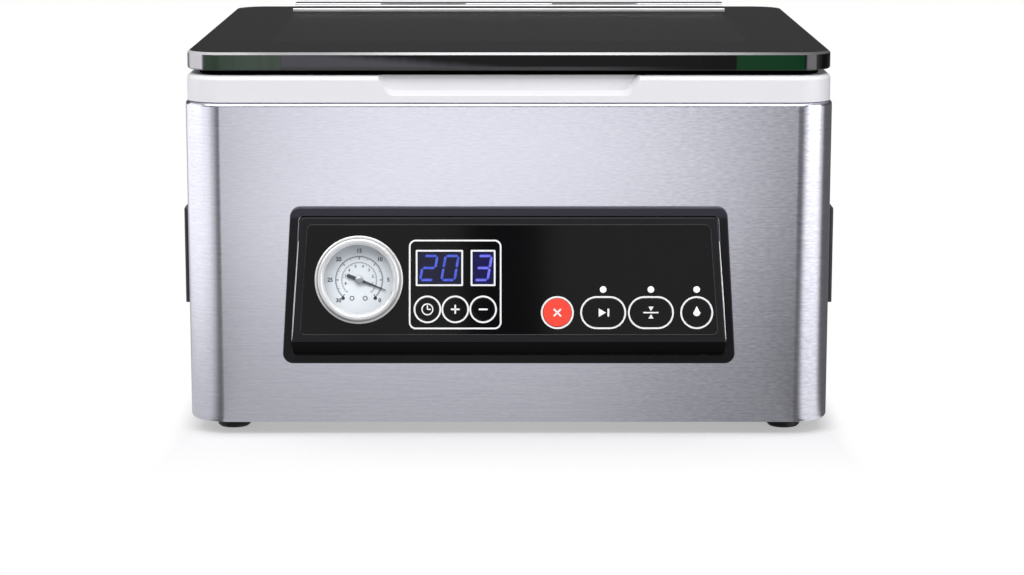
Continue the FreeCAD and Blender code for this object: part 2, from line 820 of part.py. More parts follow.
leaf_rear_y = leaf_front_y + hinge_leaf
leaf_bottom = deck_bottom + deck_seam
leaf_top = hinge_z - knuckle_radius - 2 * gap
rail_solids = [rail]
leaf_solids = [box(-half_rail, half_rail, leaf_front_y, leaf_rear_y, leaf_bottom, leaf_top)]
for i in range(knuckle_count):
    x0 = -half_rail + i * knuckle_pitch + knuckle_gap / 2
    tube = rod(knuckle_radius, V(x0, hinge_y, hinge_z), X_AXIS, knuckle_length)
    if i % 2:
        flank = knuckle_radius * math.sqrt(0.75)
        shoulder = hinge_z + knuckle_radius / 2
        arm = [V(x0, step_y, lid_top), V(x0, step_y, high_z), V(x0, hinge_y, high_z),
               V(x0, hinge_y + flank, shoulder), V(x0, hinge_y, hinge_z),
               V(x0, hinge_y - flank, shoulder), V(x0, hinge_y - flank, lid_top)]
        rail_solids += [tube, polygon_prism(arm, X_AXIS * knuckle_length)]
    else:
        leaf_solids += [tube, box(x0, x0 + knuckle_length, leaf_front_y, leaf_rear_y, leaf_bottom, hinge_z)]
pin_bore = rod(hinge_pin_radius + slip, axis_start, X_AXIS, rail_length)
rail = fuse(rail_solids).cut(pin_bore)
leaf = fuse(leaf_solids).cut(pin_bore)
pin_end = V(half_rail, hinge_y, hinge_z)
add("hinge_pin", fuse([rod(hinge_pin_radius, axis_start, X_AXIS, rail_length),
                       rod(hinge_pin_head, axis_start, -X_AXIS, screw_head_height),
                       rod(hinge_pin_head, pin_end, X_AXIS, screw_head_height)]))

# Clamp bar below the glass, with countersunk screws up through the glass into the rail
clamp_rear_y = lid_rear_y - gasket_hole - 2 * gap
clamp_bottom = lid_bottom - clamp_height
clamp = rounded_prism(rail_length, clamp_length, clamp_height, clamp_bottom, lid_bottom,
                      0, clamp_rear_y - clamp_length / 2)
rail_screws = []
screw_top = high_z - rail_round
for i in range(rail_screw_count):
    x = (i - (rail_screw_count - 1) / 2) * rail_screw_pitch
    foot = V(x, clamp_rear_y - rail_screw_edge, clamp_bottom)
    cone_height = screw_head_radius - screw_radius
    cone = Part.makeCone(screw_head_radius, screw_radius, cone_height, foot, Z_AXIS)
    seat = Part.makeCone(screw_head_radius + slip, screw_radius + slip, cone_height, foot, Z_AXIS)
    shank = rod(screw_radius, foot, Z_AXIS, screw_top - clamp_bottom)
    bore = rod(screw_radius + slip, foot, Z_AXIS, screw_top - clamp_bottom + slip)
    rail_screws.append(fuse([cone, shank]))
    clamp = clamp.cut([seat, bore])
    rail = rail.cut(bore)
    glass_plate = glass_plate.cut(rod(screw_radius + glass_screw_room, foot, Z_AXIS,
                                      lid_top - clamp_bottom))
add("rail_clamp", clamp)
add("rail_screws", Part.makeCompound(rail_screws))
add("hinge_rail", rail)
add("lid_glass", glass_plate)

# Hinge leaf on the deck's rear face, with its screws
hinge_screws = []
screw_row_z = (leaf_bottom + deck_top - deck_round) / 2
for i in range(knuckle_count + 1):
    x = (i - knuckle_count / 2) * (rail_length - 4 * screw_head_radius) / knuckle_count
    seat = V(x, leaf_rear_y, screw_row_z)
    hinge_screws.append(pan_head_screw(seat, -Y_AXIS, screw_length))
    hole = rod(screw_radius + slip, seat, -Y_AXIS, screw_length + slip)
    leaf = leaf.cut(hole)
    deck = deck.cut(hole)
add("hinge_bracket", leaf)
add("top_deck", deck)
add("case_screws", Part.makeCompound(cover_screws + hinge_screws))

# Silicone pad below the lid, in its holder, where the seal bar presses
holder_bottom = lid_bottom - pad_holder_height
holder = centred_box(bar_length + pad_holder_width - pad_width, pad_holder_width, pad_holder_height,
                     0, bar_y, holder_bottom)
pad_slot = centred_box(bar_length + 2 * seat_gap, pad_width + 2 * seat_gap, pad_seat, 0, bar_y, holder_bottom)
add("lid_pad_holder", holder.makeFillet(pad_seat, edges_along(holder, Z_AXIS)).cut(pad_slot))
pad = rounded_prism(bar_length, pad_width, pad_seat, pad_bottom, holder_bottom + pad_seat, 0, bar_y)
add("lid_seal_pad", pad)

# Seal bar: an aluminium extrusion with a heating strip and a non-stick tape, on two piston posts
half_bar = bar_length / 2
bar = centred_box(bar_length, bar_width, bar_height, 0, bar_y, bar_bottom)
bar = bar.makeFillet(bar_round, [e for e in edges_along(bar, X_AXIS) if e.BoundBox.ZMin > bar_bottom + slip])
groove_top = bar_top - bar_groove_drop
for s in (-1, 1):
    y = bar_y + s * bar_width / 2
    bar = bar.cut(box(-half_bar, half_bar, y - bar_groove, y + bar_groove,
                      groove_top - bar_groove_height, groove_top))
add("seal_bar", bar)
strip_top = bar_top + strip_height
tape_top = strip_top + tape_height
add("heating_strip", centred_box(bar_length, strip_width, strip_height, 0, bar_y, bar_top))
inside, outside = bar_width / 2 + slip, bar_width / 2 + slip + tape_height
tape_low = bar_top - tape_skirt
tape_section = [(-outside, tape_low), (-outside, tape_top), (outside, tape_top), (outside, tape_low),
                (inside, tape_low), (inside, strip_top), (-inside, strip_top), (-inside, tape_low)]
add("ptfe_tape", polygon_prism([V(-half_bar, bar_y + y, z) for y, z in tape_section], X_AXIS * bar_length))

# Lift cylinders below the shelf, and the posts with their pistons
shelf_under = shelf_z - tub_sheet
cylinder_floor = shelf_under - piston_height - bar_lift - cylinder_room
cylinder_bottom = cylinder_floor - cylinder_wall
piston_bottom = cylinder_floor + gap
lift_line_z = (cylinder_floor + shelf_under) / 2
posts, cylinders = [], []
for place in post_places:
    foot = place + Z_AXIS * piston_bottom
    posts.append(fuse([rod(piston_radius, foot, Z_AXIS, piston_height),
                       rod(post_radius, foot, Z_AXIS, bar_bottom - piston_bottom)]))
    cup = [rod(cylinder_radius, place + Z_AXIS * cylinder_bottom, Z_AXIS, shelf_under - cylinder_bottom),
           rod(cylinder_radius + cylinder_flange, place + Z_AXIS * (shelf_under - cylinder_wall), Z_AXIS,
               cylinder_wall),
           rod(thin_hose_bore - slip, place + Z_AXIS * cylinder_bottom, -Z_AXIS, barb_length)]
    if place.x < 0:
        cup.append(box(lift_face_x, place.x, place.y - lift_boss / 2, place.y + lift_boss / 2,
                       lift_line_z - lift_boss / 2, lift_line_z + lift_boss / 2))
        cup.append(rod(thin_hose_bore - slip, V(lift_face_x, place.y, lift_line_z), -X_AXIS, barb_length))
    bore = rod(cylinder_bore, place + Z_AXIS * cylinder_floor, Z_AXIS, shelf_under - cylinder_floor)
    cylinders.append(fuse(cup).cut(bore))
add("lift_posts", Part.makeCompound(posts))
add("lift_cylinders", Part.makeCompound(cylinders))

# Control panel: trim frame on the steel, and the leaning housing that passes through it
frame_ring = panel_prism(0, panel_corner, lip_y, front_y)
frame_ring = frame_ring.makeFillet(panel_frame_round, edges_at(frame_ring, "Y", lip_y))
frame_hole = panel_prism(panel_frame_width, housing_corner + panel_groove, lip_y, front_y)
add("panel_frame", frame_ring.cut(frame_hole))


def housing_section(back_y):
    """The housing's side view: flat top, leaning face, undercut nose and flat bottom."""
    half = panel_bottom_width / 2
    points = [V(-half, back_y, housing_top_z), V(-half, lip_y, housing_top_z), V(-half, nose_y, nose_z),
              V(-half, lip_y, housing_bottom_z), V(-half, back_y, housing_bottom_z)]
    return Part.Face(Part.makePolygon(points + points[:1]))


across_panel = X_AXIS * panel_bottom_width
shell = housing_section(flange_back_y).extrude(across_panel)
shell = shell.common(panel_prism(panel_rim, housing_corner, nose_y, flange_back_y))
shell = shell.makeFillet(housing_round, [e for e in shell.Edges if e.BoundBox.YMax < lip_y + slip])
flange = panel_prism(panel_rim - panel_flange, panel_corner, front_y + sheet, flange_back_y)
hollow = housing_section(flange_back_y + 2 * panel_wall).makeOffset2D(-panel_wall).extrude(across_panel)
hollow = hollow.common(panel_prism(panel_rim + panel_wall, housing_corner, nose_y,
                                   flange_back_y + panel_wall))
housing = fuse([shell, flange]).cut(hollow)
boss_places = [(board_left + board_boss_inset, board_high - board_boss_inset),
               (board_right - board_boss_inset, board_high - board_boss_inset),
               (board_left + board_boss_inset, board_low + board_boss_inset),
               (board_left + board_boss_middle, board_low + board_boss_inset)]
bosses = [on_panel(rod(board_boss_radius, V(x, up, board_front), Z_AXIS, -board_front - panel_wall / 2))
          for x, up in boss_places]
housing = fuse([housing] + bosses)
fascia = fascia_prism(0, fascia_bottom, fascia_top)
gauge_hole = rod(gauge_case_radius + seat_gap, V(gauge_x, 0, -2 * panel_wall), Z_AXIS, 2 * panel_wall)
face_cuts = [gauge_hole]
for name in keys:
    face_cuts.append(key_prism(name, gap, -2 * panel_wall, 0))
for x, width in windows:
    face_cuts.append(centred_box(width + 2 * seat_gap, window_height + 2 * seat_gap, 2 * panel_wall,
                                 x, window_rise, -2 * panel_wall))
for x in lights:
    face_cuts.append(rod(led_radius + seat_gap, V(x, led_row, -2 * panel_wall), Z_AXIS, 2 * panel_wall))
housing = housing.cut(on_panel(fascia_prism(seat_gap, fascia_bottom, panel_wall)))
add("panel_housing", housing.cut([on_panel(cut) for cut in face_cuts]))
add("panel_fascia", on_panel(fascia.cut(face_cuts)))

# Keys: a cap that stands a little proud, a flange behind the wall and a stem over its switch
for name, (x, up, length, height) in keys.items():
    cap_top = fascia_top + key_proud
    cap = key_prism(name, 0, -panel_wall, cap_top)
    cap = cap.makeFillet(key_round, edges_at(cap, "Z", cap_top))
    flange = key_prism(name, key_flange, -panel_wall - key_flange, -panel_wall)
    stem = rod(key_stem_radius, V(x, up, -panel_wall - key_flange), -Z_AXIS, key_stem)
    add(name, on_panel(fuse([cap, flange, stem])))

# Displays, indicator lights and the board that carries them, with a switch under each key
window_depth = fascia_top - board_front
for name, (x, width) in zip(("display_two_digit", "display_one_digit"), windows):
    add(name, on_panel(centred_box(width, window_height, window_depth, x, window_rise, board_front)))
add("indicator_lights", on_panel(Part.makeCompound(
    [rod(led_radius, V(x, led_row, board_front), Z_AXIS, window_depth) for x in lights])))
display_board = box(board_left, board_right, board_low, board_high, board_front - board_thick, board_front)
switches = [centred_box(switch_size, switch_size, switch_rise, x, up, board_front)
            for x, up, length, height in keys.values()]
add("display_board", on_panel(fuse([display_board] + switches)))

# Dial gauge: a cup case through the panel, a dial on its ledge, a needle, a lens and a ring with a
# low flange, a groove and a rolled rim that laps over the lens
flange_top = fascia_top + gauge_flange_height
lens_top = ring_top - gauge_rim_lip
lens_bottom = lens_top - lens_thick
dial_top = lens_bottom - dial_room
dial_bottom = dial_top - dial_thick
case_floor = -gauge_case_depth
case_inside = gauge_case_radius - gauge_case_wall
gauge_centre = V(gauge_x, 0, 0)
flange_radius = rim_radius + gauge_flange_run
sight_radius = gauge_case_radius - lens_lap
ring_profile = [(ring_bore, fascia_top), (flange_radius, fascia_top), (flange_radius, flange_top),
                (rim_radius + gauge_groove, flange_top), (rim_radius, flange_top - gauge_groove),
                (rim_radius, ring_top), (sight_radius + gauge_rim_slope, ring_top), (sight_radius, lens_top),
                (ring_bore, lens_top)]
gauge_ring = revolved(ring_profile, gauge_centre, Z_AXIS, X_AXIS)
gauge_ring = gauge_ring.makeFillet(gauge_rim_round, edges_at(gauge_ring, "Z", ring_top))
gauge_ring = gauge_ring.makeFillet(gauge_flange_round, edges_at(gauge_ring, "Z", flange_top))
add("gauge_ring", on_panel(gauge_ring))
stem_end = case_floor - gauge_stem_length
bore_radius = needle_spindle_radius + slip
spindle_top = dial_top + needle_lift
spindle_end = spindle_top - needle_spindle_length
case_profile = [(0, stem_end), (gauge_stem_radius, stem_end), (gauge_stem_radius, case_floor),
                (gauge_case_radius, case_floor), (gauge_case_radius, lens_bottom), (case_inside, lens_bottom),
                (case_inside, dial_bottom), (case_inside - dial_ledge, dial_bottom),
                (case_inside - dial_ledge, case_floor + gauge_case_wall),
                (movement_radius, case_floor + gauge_case_wall), (movement_radius, dial_bottom - dial_thick),
                (bore_radius, dial_bottom - dial_thick), (bore_radius, spindle_end), (0, spindle_end)]
gauge_nipple = rod(thin_hose_bore - slip, V(gauge_x, 0, stem_end), -Z_AXIS, barb_length)
gauge_cup = revolved(case_profile, gauge_centre, Z_AXIS, X_AXIS)
add("gauge_case", on_panel(fuse([gauge_cup, gauge_nipple])))
dial_profile = [(bore_radius, dial_bottom), (case_inside - seat_gap, dial_bottom),
                (case_inside - seat_gap, dial_top), (bore_radius, dial_top)]
add("gauge_dial", on_panel(revolved(dial_profile, gauge_centre, Z_AXIS, X_AXIS)))
add("gauge_lens", on_panel(rod(gauge_case_radius, V(gauge_x, 0, lens_bottom), Z_AXIS, lens_thick)))
half_tail = needle_tail_width / 2
pointer_side = [(needle_length, needle_width / 4), (0, needle_width), (-needle_tail / 2, half_tail),
                (-needle_tail, half_tail)]
pointer = polygon_prism([V(x, y, 0) for x, y in pointer_side]
                        + [V(x, -y, 0) for x, y in reversed(pointer_side)], Z_AXIS * needle_thick)
needle = fuse([pointer, rod(needle_hub_radius, V(0, 0, 0), Z_AXIS, needle_hub_height),
               rod(needle_spindle_radius, V(0, 0, 0), -Z_AXIS, needle_spindle_length - gap)])
needle.rotate(V(0, 0, 0), Z_AXIS, needle_angle)
needle.translate(V(gauge_x, 0, spindle_top))
add("gauge_needle", on_panel(needle))

# Side grips: a hood over a bowl that is set into the steel side
half_body = body_width / 2
grip_low, grip_high = grip_centre_z - grip_height / 2, grip_centre_z + grip_height / 2
grip_y0, grip_y1 = mid_y - grip_length / 2, mid_y + grip_length / 2


def hood_form(shrink):
    """The hood's side view, carried along the grip: sloping top, upright face, open below."""
    y0, y1 = grip_y0 + shrink, grip_y1 - shrink
    face_x = half_body + grip_reach - shrink
    low = grip_low - shrink
    points = [V(half_body, y0, low), V(face_x, y0, low), V(face_x, y0, grip_high - grip_slope - shrink),
              V(half_body, y0, grip_high - shrink)]
    rounded = side_prism(y1 - y0, 2 * (grip_height - shrink), grip_corner, half_body, face_x,
                         mid_y, grip_low)
    return polygon_prism(points, V(0, y1 - y0, 0)).common(rounded)


hood = hood_form(0)
hood = hood.makeFillet(grip_round, [e for e in hood.Edges if e.BoundBox.XMax > half_body + slip
                                    and e.BoundBox.ZMax > grip_low + slip])
bowl = side_prism(bowl_length, bowl_height, bowl_corner, half_body - grip_bowl, half_body,
                  mid_y, grip_centre_z)
bowl_inside = side_prism(bowl_length - 2 * grip_wall, bowl_height - 2 * grip_wall, bowl_corner,
                         half_body - grip_bowl + grip_wall, half_body + grip_wall, mid_y, grip_centre_z)
hood_back = box(half_body, half_body + grip_wall, grip_y0, grip_y1, grip_low - grip_wall, grip_high)
grip = fuse([hood, bowl]).cut([hood_form(grip_wall).cut(hood_back), bowl_inside])
add("side_grip_right", grip)
add("side_grip_left", grip.mirror(V(0, 0, 0), X_AXIS))

# Pump tray on four rubber mounts
tray_bottom = pan_top + pump_mount_height
tray_top = tray_bottom + pump_tray_sheet
pump_z = tray_top + motor_radius + gap
tray = rounded_prism(pump_tray_width, pump_tray_length, pump_mount_radius, tray_bottom, tray_top, 0, pump_y)
mounts = []
for sx in (-1, 1):
    for sy in (-1, 1):
        x = sx * (pump_tray_width / 2 - pump_mount_inset)
        y = pump_y + sy * (pump_tray_length / 2 - pump_mount_inset)
        profile = [(0, 0), (pump_mount_radius, 0), (pump_mount_waist, pump_mount_height / 2),
                   (pump_mount_radius, pump_mount_height), (0, pump_mount_height)]
        mounts.append(revolved(profile, V(x, y, pan_top), Z_AXIS, X_AXIS))
add("pump_tray", tray)
add("pump_mounts", Part.makeCompound(mounts))

# Pump motor: a finned barrel between two end bells, on a foot
half_motor = motor_length / 2
barrel_length = motor_length - 2 * motor_bell_length
motor = [rod(motor_radius - motor_rib, V(-half_motor, pump_y, pump_z), X_AXIS, motor_length),
         rod(motor_radius, V(-half_motor, pump_y, pump_z), X_AXIS, motor_bell_length),
         rod(motor_radius, V(half_motor - motor_bell_length, pump_y, pump_z), X_AXIS, motor_bell_length),
         centred_box(motor_foot_length, motor_foot_width, motor_radius / 2, 0, pump_y, tray_top)]
for i in range(motor_rib_count):
    rib = box(-barrel_length / 2, barrel_length / 2, -motor_rib, motor_rib, 0, motor_radius)
    rib.rotate(V(0, 0, 0), X_AXIS, 360 * (i + 0.5) / motor_rib_count)
    rib.translate(V(0, pump_y, pump_z))
    motor.append(rib)
shaft_room = rod(shaft_radius + slip, V(0, pump_y, pump_z), X_AXIS, half_motor)
add("pump_motor", fuse(motor).cut(shaft_room))

# Pump heads: a round crankcase on the motor's end, a cylinder above it and a finned head on top
head_base_z = pump_z + piston_rise
head_top_z = head_base_z + head_height
head_hose_z = head_base_z + (head_height - fin_depth) / 2
head_hose_face = half_motor + crank_length
for name, s in (("pump_head_left", -1), ("pump_head_right", 1)):
    centre_x = s * (half_motor + crank_length / 2)
    crank = rod(crank_radius, V(s * half_motor, pump_y, pump_z), X_AXIS * s, crank_length)
    block = centred_box(crank_length, piston_block, piston_rise, centre_x, pump_y, pump_z)
    cover = centred_box(crank_length, head_block, head_height, centre_x, pump_y, head_base_z)
    slots = []
    for i in range(fin_count):
        y = pump_y + (i - (fin_count - 1) / 2) * head_block / fin_count
        slots.append(centred_box(crank_length, fin_slot, fin_depth, centre_x, y, head_top_z - fin_depth))
    head = fuse([crank, block, cover]).cut(slots)
    if s < 0:
        nipple = rod(hose_bore - slip, V(-head_hose_face, pump_y, head_hose_z), -X_AXIS, barb_length)
        head = fuse([head, nipple])
    head = head.cut(rod(shaft_radius + slip, V(0, pump_y, pump_z), X_AXIS, head_hose_face))
    add(name, head)

# Cooling fan on the motor's shaft
fan_x = head_hose_face + fan_stand_off
fan = [rod(shaft_radius, V(gap, pump_y, pump_z), X_AXIS, fan_x + fan_length - gap),
       rod(fan_hub_radius, V(fan_x, pump_y, pump_z), X_AXIS, fan_length)]
blade_width = fan_length / math.sin(math.radians(90 - fan_pitch)) - 2 * fan_blade_thick
for i in range(fan_blades):
    blade = box(-blade_width / 2, blade_width / 2, -fan_blade_thick / 2, fan_blade_thick / 2,
                shaft_radius, fan_radius)
    blade.rotate(V(0, 0, 0), Z_AXIS, fan_pitch)
    blade.rotate(V(0, 0, 0), X_AXIS, 360 * i / fan_blades)
    blade.translate(V(fan_x + fan_length / 2, pump_y, pump_z))
    fan.append(blade)
add("pump_fan", fuse(fan))

# Chamber port below the well's floor, with nipples for the pump line and the gauge line
floor_under = floor_z - tub_sheet
port_bottom = floor_under - port_height
port_front = port_y - port_size / 2
port_line_z = port_bottom + port_height / 2
add("chamber_port", fuse([
    centred_box(port_size, port_size, port_height, port_x, port_y, port_bottom),
    rod(port_flange_radius, V(port_x, port_y, floor_under), -Z_AXIS, port_flange_thick),
    rod(port_neck_radius, V(port_x, port_y, floor_under), Z_AXIS, tub_sheet),
    rod(hose_bore - slip, V(port_x, port_y, port_bottom), -Z_AXIS, barb_length),
    rod(thin_hose_bore - slip, V(port_x, port_front, port_line_z), -Y_AXIS, barb_length)]))

# Valve manifold on the floor plate, with two solenoid valves on top
manifold_top = pan_top + manifold_height
add("valve_manifold", fuse([
    centred_box(manifold_width, manifold_length, manifold_height, manifold_x, pump_y, pan_top),
    rod(hose_bore - slip, V(port_x, manifold_front, manifold_port_z), -Y_AXIS, barb_length),
    rod(thin_hose_bore - slip, V(lift_line_x, manifold_front, manifold_port_z), -Y_AXIS, barb_length),
    rod(hose_bore - slip, V(port_x, pump_y, manifold_top), Z_AXIS, barb_length)]))
valves = []
for s in (-1, 1):
    foot = V(lift_line_x, pump_y + s * valve_pitch / 2, manifold_top)
    coil = rod(valve_radius, foot, Z_AXIS, valve_height)
    cap = rod(valve_radius / 2, foot + Z_AXIS * valve_height, Z_AXIS, valve_radius / 2)
    valves.append(fuse([coil, cap]))
add("solenoid_valves", Part.makeCompound(valves))

# Hoses: chamber to manifold, manifold to pump, and the lines that raise the seal bar
u_drop = cylinder_bottom - 2 * hose_bend
chamber_line = [V(port_x, port_y, port_bottom), V(port_x, port_y, manifold_port_z),
                V(port_x, manifold_front, manifold_port_z)]
pump_line = [V(port_x, pump_y, manifold_top), V(port_x, pump_y, head_hose_z),
             V(-head_hose_face, pump_y, head_hose_z)]
lift_line = [V(lift_face_x, bar_y, lift_line_z), V(lift_line_x, bar_y, lift_line_z),
             V(lift_line_x, bar_y, manifold_port_z), V(lift_line_x, manifold_front, manifold_port_z)]
link_line = [V(post_places[0].x, bar_y, cylinder_bottom), V(post_places[0].x, bar_y, u_drop),
             V(post_places[1].x, bar_y, u_drop), V(post_places[1].x, bar_y, cylinder_bottom)]
add("vacuum_hoses", Part.makeCompound([
    hose(chamber_line, hose_bend, hose_radius, hose_bore),
    hose(pump_line, hose_bend, hose_radius, hose_bore),
    hose(lift_line, hose_bend, thin_hose_radius, thin_hose_bore),
    hose(link_line, hose_bend, thin_hose_radius, thin_hose_bore)]))

# Gauge line: from the gauge's stem to the chamber port
gauge_line = [panel_point(gauge_x, 0, stem_end), panel_point(gauge_x, 0, stem_end - 2 * hose_bend),
              V(port_x, port_front - 3 * hose_bend, port_line_z), V(port_x, port_front, port_line_z)]
add("gauge_hose", hose(gauge_line, hose_bend, thin_hose_radius, thin_hose_bore))

# Power board on the standoffs, with its heat sink, relay and capacitors
board_bottom = pan_top + standoff_height
board_top = board_bottom + board_thick
board_solids = [centred_box(board_width, board_length, board_thick, board_x, board_y, board_bottom)]
for s in (-1, 1):
    foot = V(board_x + s * capacitor_pitch / 2, board_y, board_top)
    board_solids.append(rod(capacitor_radius, foot, Z_AXIS, capacitor_height))
for i in range(fin_count):
    x = board_x - board_width / 2 + standoff_inset + (i + 1) * fin_slot * 2
    board_solids.append(centred_box(fin_slot, board_length / 2, sink_height, x, board_y, board_top))
board_solids.append(centred_box(fin_count * fin_slot * 2 + fin_slot, board_length / 2, fin_slot,
                                board_x - board_width / 2 + standoff_inset + (fin_count + 1) * fin_slot,
                                board_y, board_top))
relay_x = board_x + board_width / 2 - standoff_inset - capacitor_radius
board_solids.append(centred_box(capacitor_radius, 2 * capacitor_radius, capacitor_height / 2,
                                relay_x, board_y, board_top))
add("power_board", fuse(board_solids))

# Transformer: a laminated core with a swelling winding
core = centred_box(transformer_width, transformer_length / 2, transformer_height, transformer_x, board_y,
                   pan_top)
winding = rounded_prism(transformer_width / 2, transformer_length, winding_swell,
                        pan_top + winding_swell, pan_top + transformer_height - winding_swell,
                        transformer_x, board_y)
add("transformer", fuse([core, winding]))

# Power inlet: a flanged socket with three pins
flange_face = rear_outside_y + inlet_flange_thick
socket_floor = flange_face - inlet_depth
inlet = fuse([
    upright_prism(inlet_flange_width, inlet_flange_height, inlet_flange_height / 4,
                  rear_outside_y, flange_face, inlet_x, inlet_z),
    upright_prism(inlet_body_width, inlet_body_height, inlet_wall, socket_floor - inlet_wall, rear_outside_y,
                  inlet_x, inlet_z)])
half_w, half_h = inlet_width / 2, inlet_height / 2
slant_w, slant_h = half_w - inlet_chamfer, half_h - inlet_chamfer
mouth_points = [(-half_w, -half_h), (half_w, -half_h), (half_w, slant_h),
                (slant_w, half_h), (-slant_w, half_h), (-half_w, slant_h)]
socket = polygon_prism([V(inlet_x + x, socket_floor, inlet_z + z) for x, z in mouth_points],
                       Y_AXIS * inlet_depth)
inlet_solids = []
for x, z in ((-pin_pitch, -pin_offset), (pin_pitch, -pin_offset), (0, pin_offset)):
    start = socket_floor - 2 * inlet_wall
    pin = box(inlet_x + x - pin_width / 2, inlet_x + x + pin_width / 2, start, socket_floor + pin_length,
              inlet_z + z - pin_height / 2, inlet_z + z + pin_height / 2)
    inlet_solids.append(pin)
inlet = inlet.cut([socket] + inlet_solids)
for s in (-1, 1):
    seat = V(inlet_x + s * inlet_screw_pitch / 2, flange_face, inlet_z)
    inlet_solids.append(pan_head_screw(seat, -Y_AXIS, screw_length))
    hole = rod(screw_radius + slip, seat, -Y_AXIS, screw_length)
    inlet = inlet.cut(hole)
    parts["rear_panel"] = parts["rear_panel"].cut(hole)
add("power_inlet", Part.makeCompound([inlet] + inlet_solids))

# Mains switch: a framed rocker on trunnions
switch_face = rear_outside_y + switch_flange_thick
rocker_y = switch_face - rocker_sink
switch_depth = rocker_y - switch_bore - switch_wall
switch_frame = fuse([
    upright_prism(switch_body_width + 2 * switch_flange, switch_body_height + 2 * switch_flange,
                  switch_flange, rear_outside_y, switch_face, inlet_x, switch_z),
    upright_prism(switch_body_width, switch_body_height, switch_wall, switch_depth, rear_outside_y,
                  inlet_x, switch_z)])
rocker_half = rocker_width / 2
trunnion_reach = rocker_half + gap + switch_wall / 2
switch_frame = switch_frame.cut([
    rod(switch_bore, V(inlet_x - rocker_half - gap, rocker_y, switch_z), X_AXIS, rocker_width + 2 * gap),
    rod(rocker_trunnion + slip, V(inlet_x - trunnion_reach - slip, rocker_y, switch_z), X_AXIS,
        2 * (trunnion_reach + slip))])
add("switch_frame", switch_frame)
rocker_points = [(-rocker_face, -rocker_radius), (-rocker_face, rocker_radius), (rocker_face, rocker_radius),
                 (rocker_dip, 0), (rocker_face, -rocker_radius)]
rocker = polygon_prism([V(-rocker_half, y, z) for y, z in rocker_points], X_AXIS * rocker_width)
rocker = rocker.common(rod(rocker_radius, V(-rocker_half, 0, 0), X_AXIS, rocker_width))
rocker = fuse([rocker, rod(rocker_trunnion, V(-trunnion_reach, 0, 0), X_AXIS, 2 * trunnion_reach)])
rocker.rotate(V(0, 0, 0), X_AXIS, -rocker_throw / 2)
rocker.translate(V(inlet_x, rocker_y, switch_z))
add("power_rocker", rocker)

# One file for each piece
os.makedirs("parts", exist_ok=True)
for name, shape in parts.items():
    if not shape.isValid():
        raise ValueError(name + " is not a valid solid")
    shape.exportStep("parts/" + name + ".step")
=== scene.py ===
import json
import math

import bmesh
import bpy
import numpy as np
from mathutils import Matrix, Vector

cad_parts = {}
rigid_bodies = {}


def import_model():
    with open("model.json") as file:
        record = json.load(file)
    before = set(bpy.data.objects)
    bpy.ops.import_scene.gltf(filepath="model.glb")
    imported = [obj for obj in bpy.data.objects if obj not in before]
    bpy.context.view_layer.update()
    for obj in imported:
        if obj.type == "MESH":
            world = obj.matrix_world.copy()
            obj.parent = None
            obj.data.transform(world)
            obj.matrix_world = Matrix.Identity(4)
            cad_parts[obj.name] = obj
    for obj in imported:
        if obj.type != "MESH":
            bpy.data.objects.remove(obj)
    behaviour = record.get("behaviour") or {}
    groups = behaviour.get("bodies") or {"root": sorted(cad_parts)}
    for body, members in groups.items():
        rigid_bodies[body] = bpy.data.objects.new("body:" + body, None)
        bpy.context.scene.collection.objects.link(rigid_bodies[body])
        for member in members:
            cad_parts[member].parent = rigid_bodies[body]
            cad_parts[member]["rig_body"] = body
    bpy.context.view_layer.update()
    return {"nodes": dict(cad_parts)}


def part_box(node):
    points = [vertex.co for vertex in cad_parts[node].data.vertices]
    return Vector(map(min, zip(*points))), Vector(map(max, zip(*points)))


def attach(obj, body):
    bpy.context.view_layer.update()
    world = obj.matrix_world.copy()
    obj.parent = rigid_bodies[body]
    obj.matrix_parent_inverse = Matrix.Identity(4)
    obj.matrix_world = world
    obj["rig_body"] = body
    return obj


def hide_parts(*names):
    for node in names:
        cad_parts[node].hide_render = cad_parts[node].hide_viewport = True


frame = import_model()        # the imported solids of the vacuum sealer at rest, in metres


# Steel wall of the case: one stainless sheet, wrapped round the four sides and rolled over at its
# top and bottom edges. It is brushed along the sheet, so fine level lines run round the corners
# and spread what it mirrors up and down, while the mirrored edges stay sharp from side to side.
class Reading:
    """A node's output in a material. Arithmetic on it adds Math nodes, node() any other node."""

    def __init__(self, socket):
        self.socket = socket

    def node(self, kind, settings=None, sockets=None, output=0):
        """Adds a node: its settings, then its sockets' values or links; gives one output."""
        tree = self.socket.id_data
        made = tree.nodes.new(kind)
        for name, value in (settings or {}).items():
            setattr(made, name, value)
        for name, value in (sockets or {}).items():
            if isinstance(value, Reading):
                tree.links.new(value.socket, made.inputs[name])
            else:
                made.inputs[name].default_value = value
        return Reading(made.outputs[output])

    def math(self, operation, first, second):
        return self.node("ShaderNodeMath", {"operation": operation}, {0: first, 1: second})

    def __add__(self, other):
        return self.math("ADD", self, other)

    __radd__ = __add__

    def __mul__(self, other):
        return self.math("MULTIPLY", self, other)

    __rmul__ = __mul__

    def __sub__(self, other):
        return self.math("SUBTRACT", self, other)

    def __rsub__(self, other):
        return self.math("SUBTRACT", other, self)

    def feeds(self, socket):
        self.socket.id_data.links.new(self.socket, socket)


def start_finish(name, colour, roughness, **more):
    """A material with its shader's plain values set: gives it, its shader and the places."""
    finish = bpy.data.materials.new(name)
    finish.use_nodes = True
    shader = finish.node_tree.nodes["Principled BSDF"]
    shader.inputs["Base Color"].default_value = (*colour, 1.0)
    shader.inputs["Roughness"].default_value = roughness
    for socket, value in more.items():
        shader.inputs[socket.replace("_", " ")].default_value = value
    coordinates = finish.node_tree.nodes.new("ShaderNodeTexCoord")
    return finish, shader, Reading(coordinates.outputs["Object"])


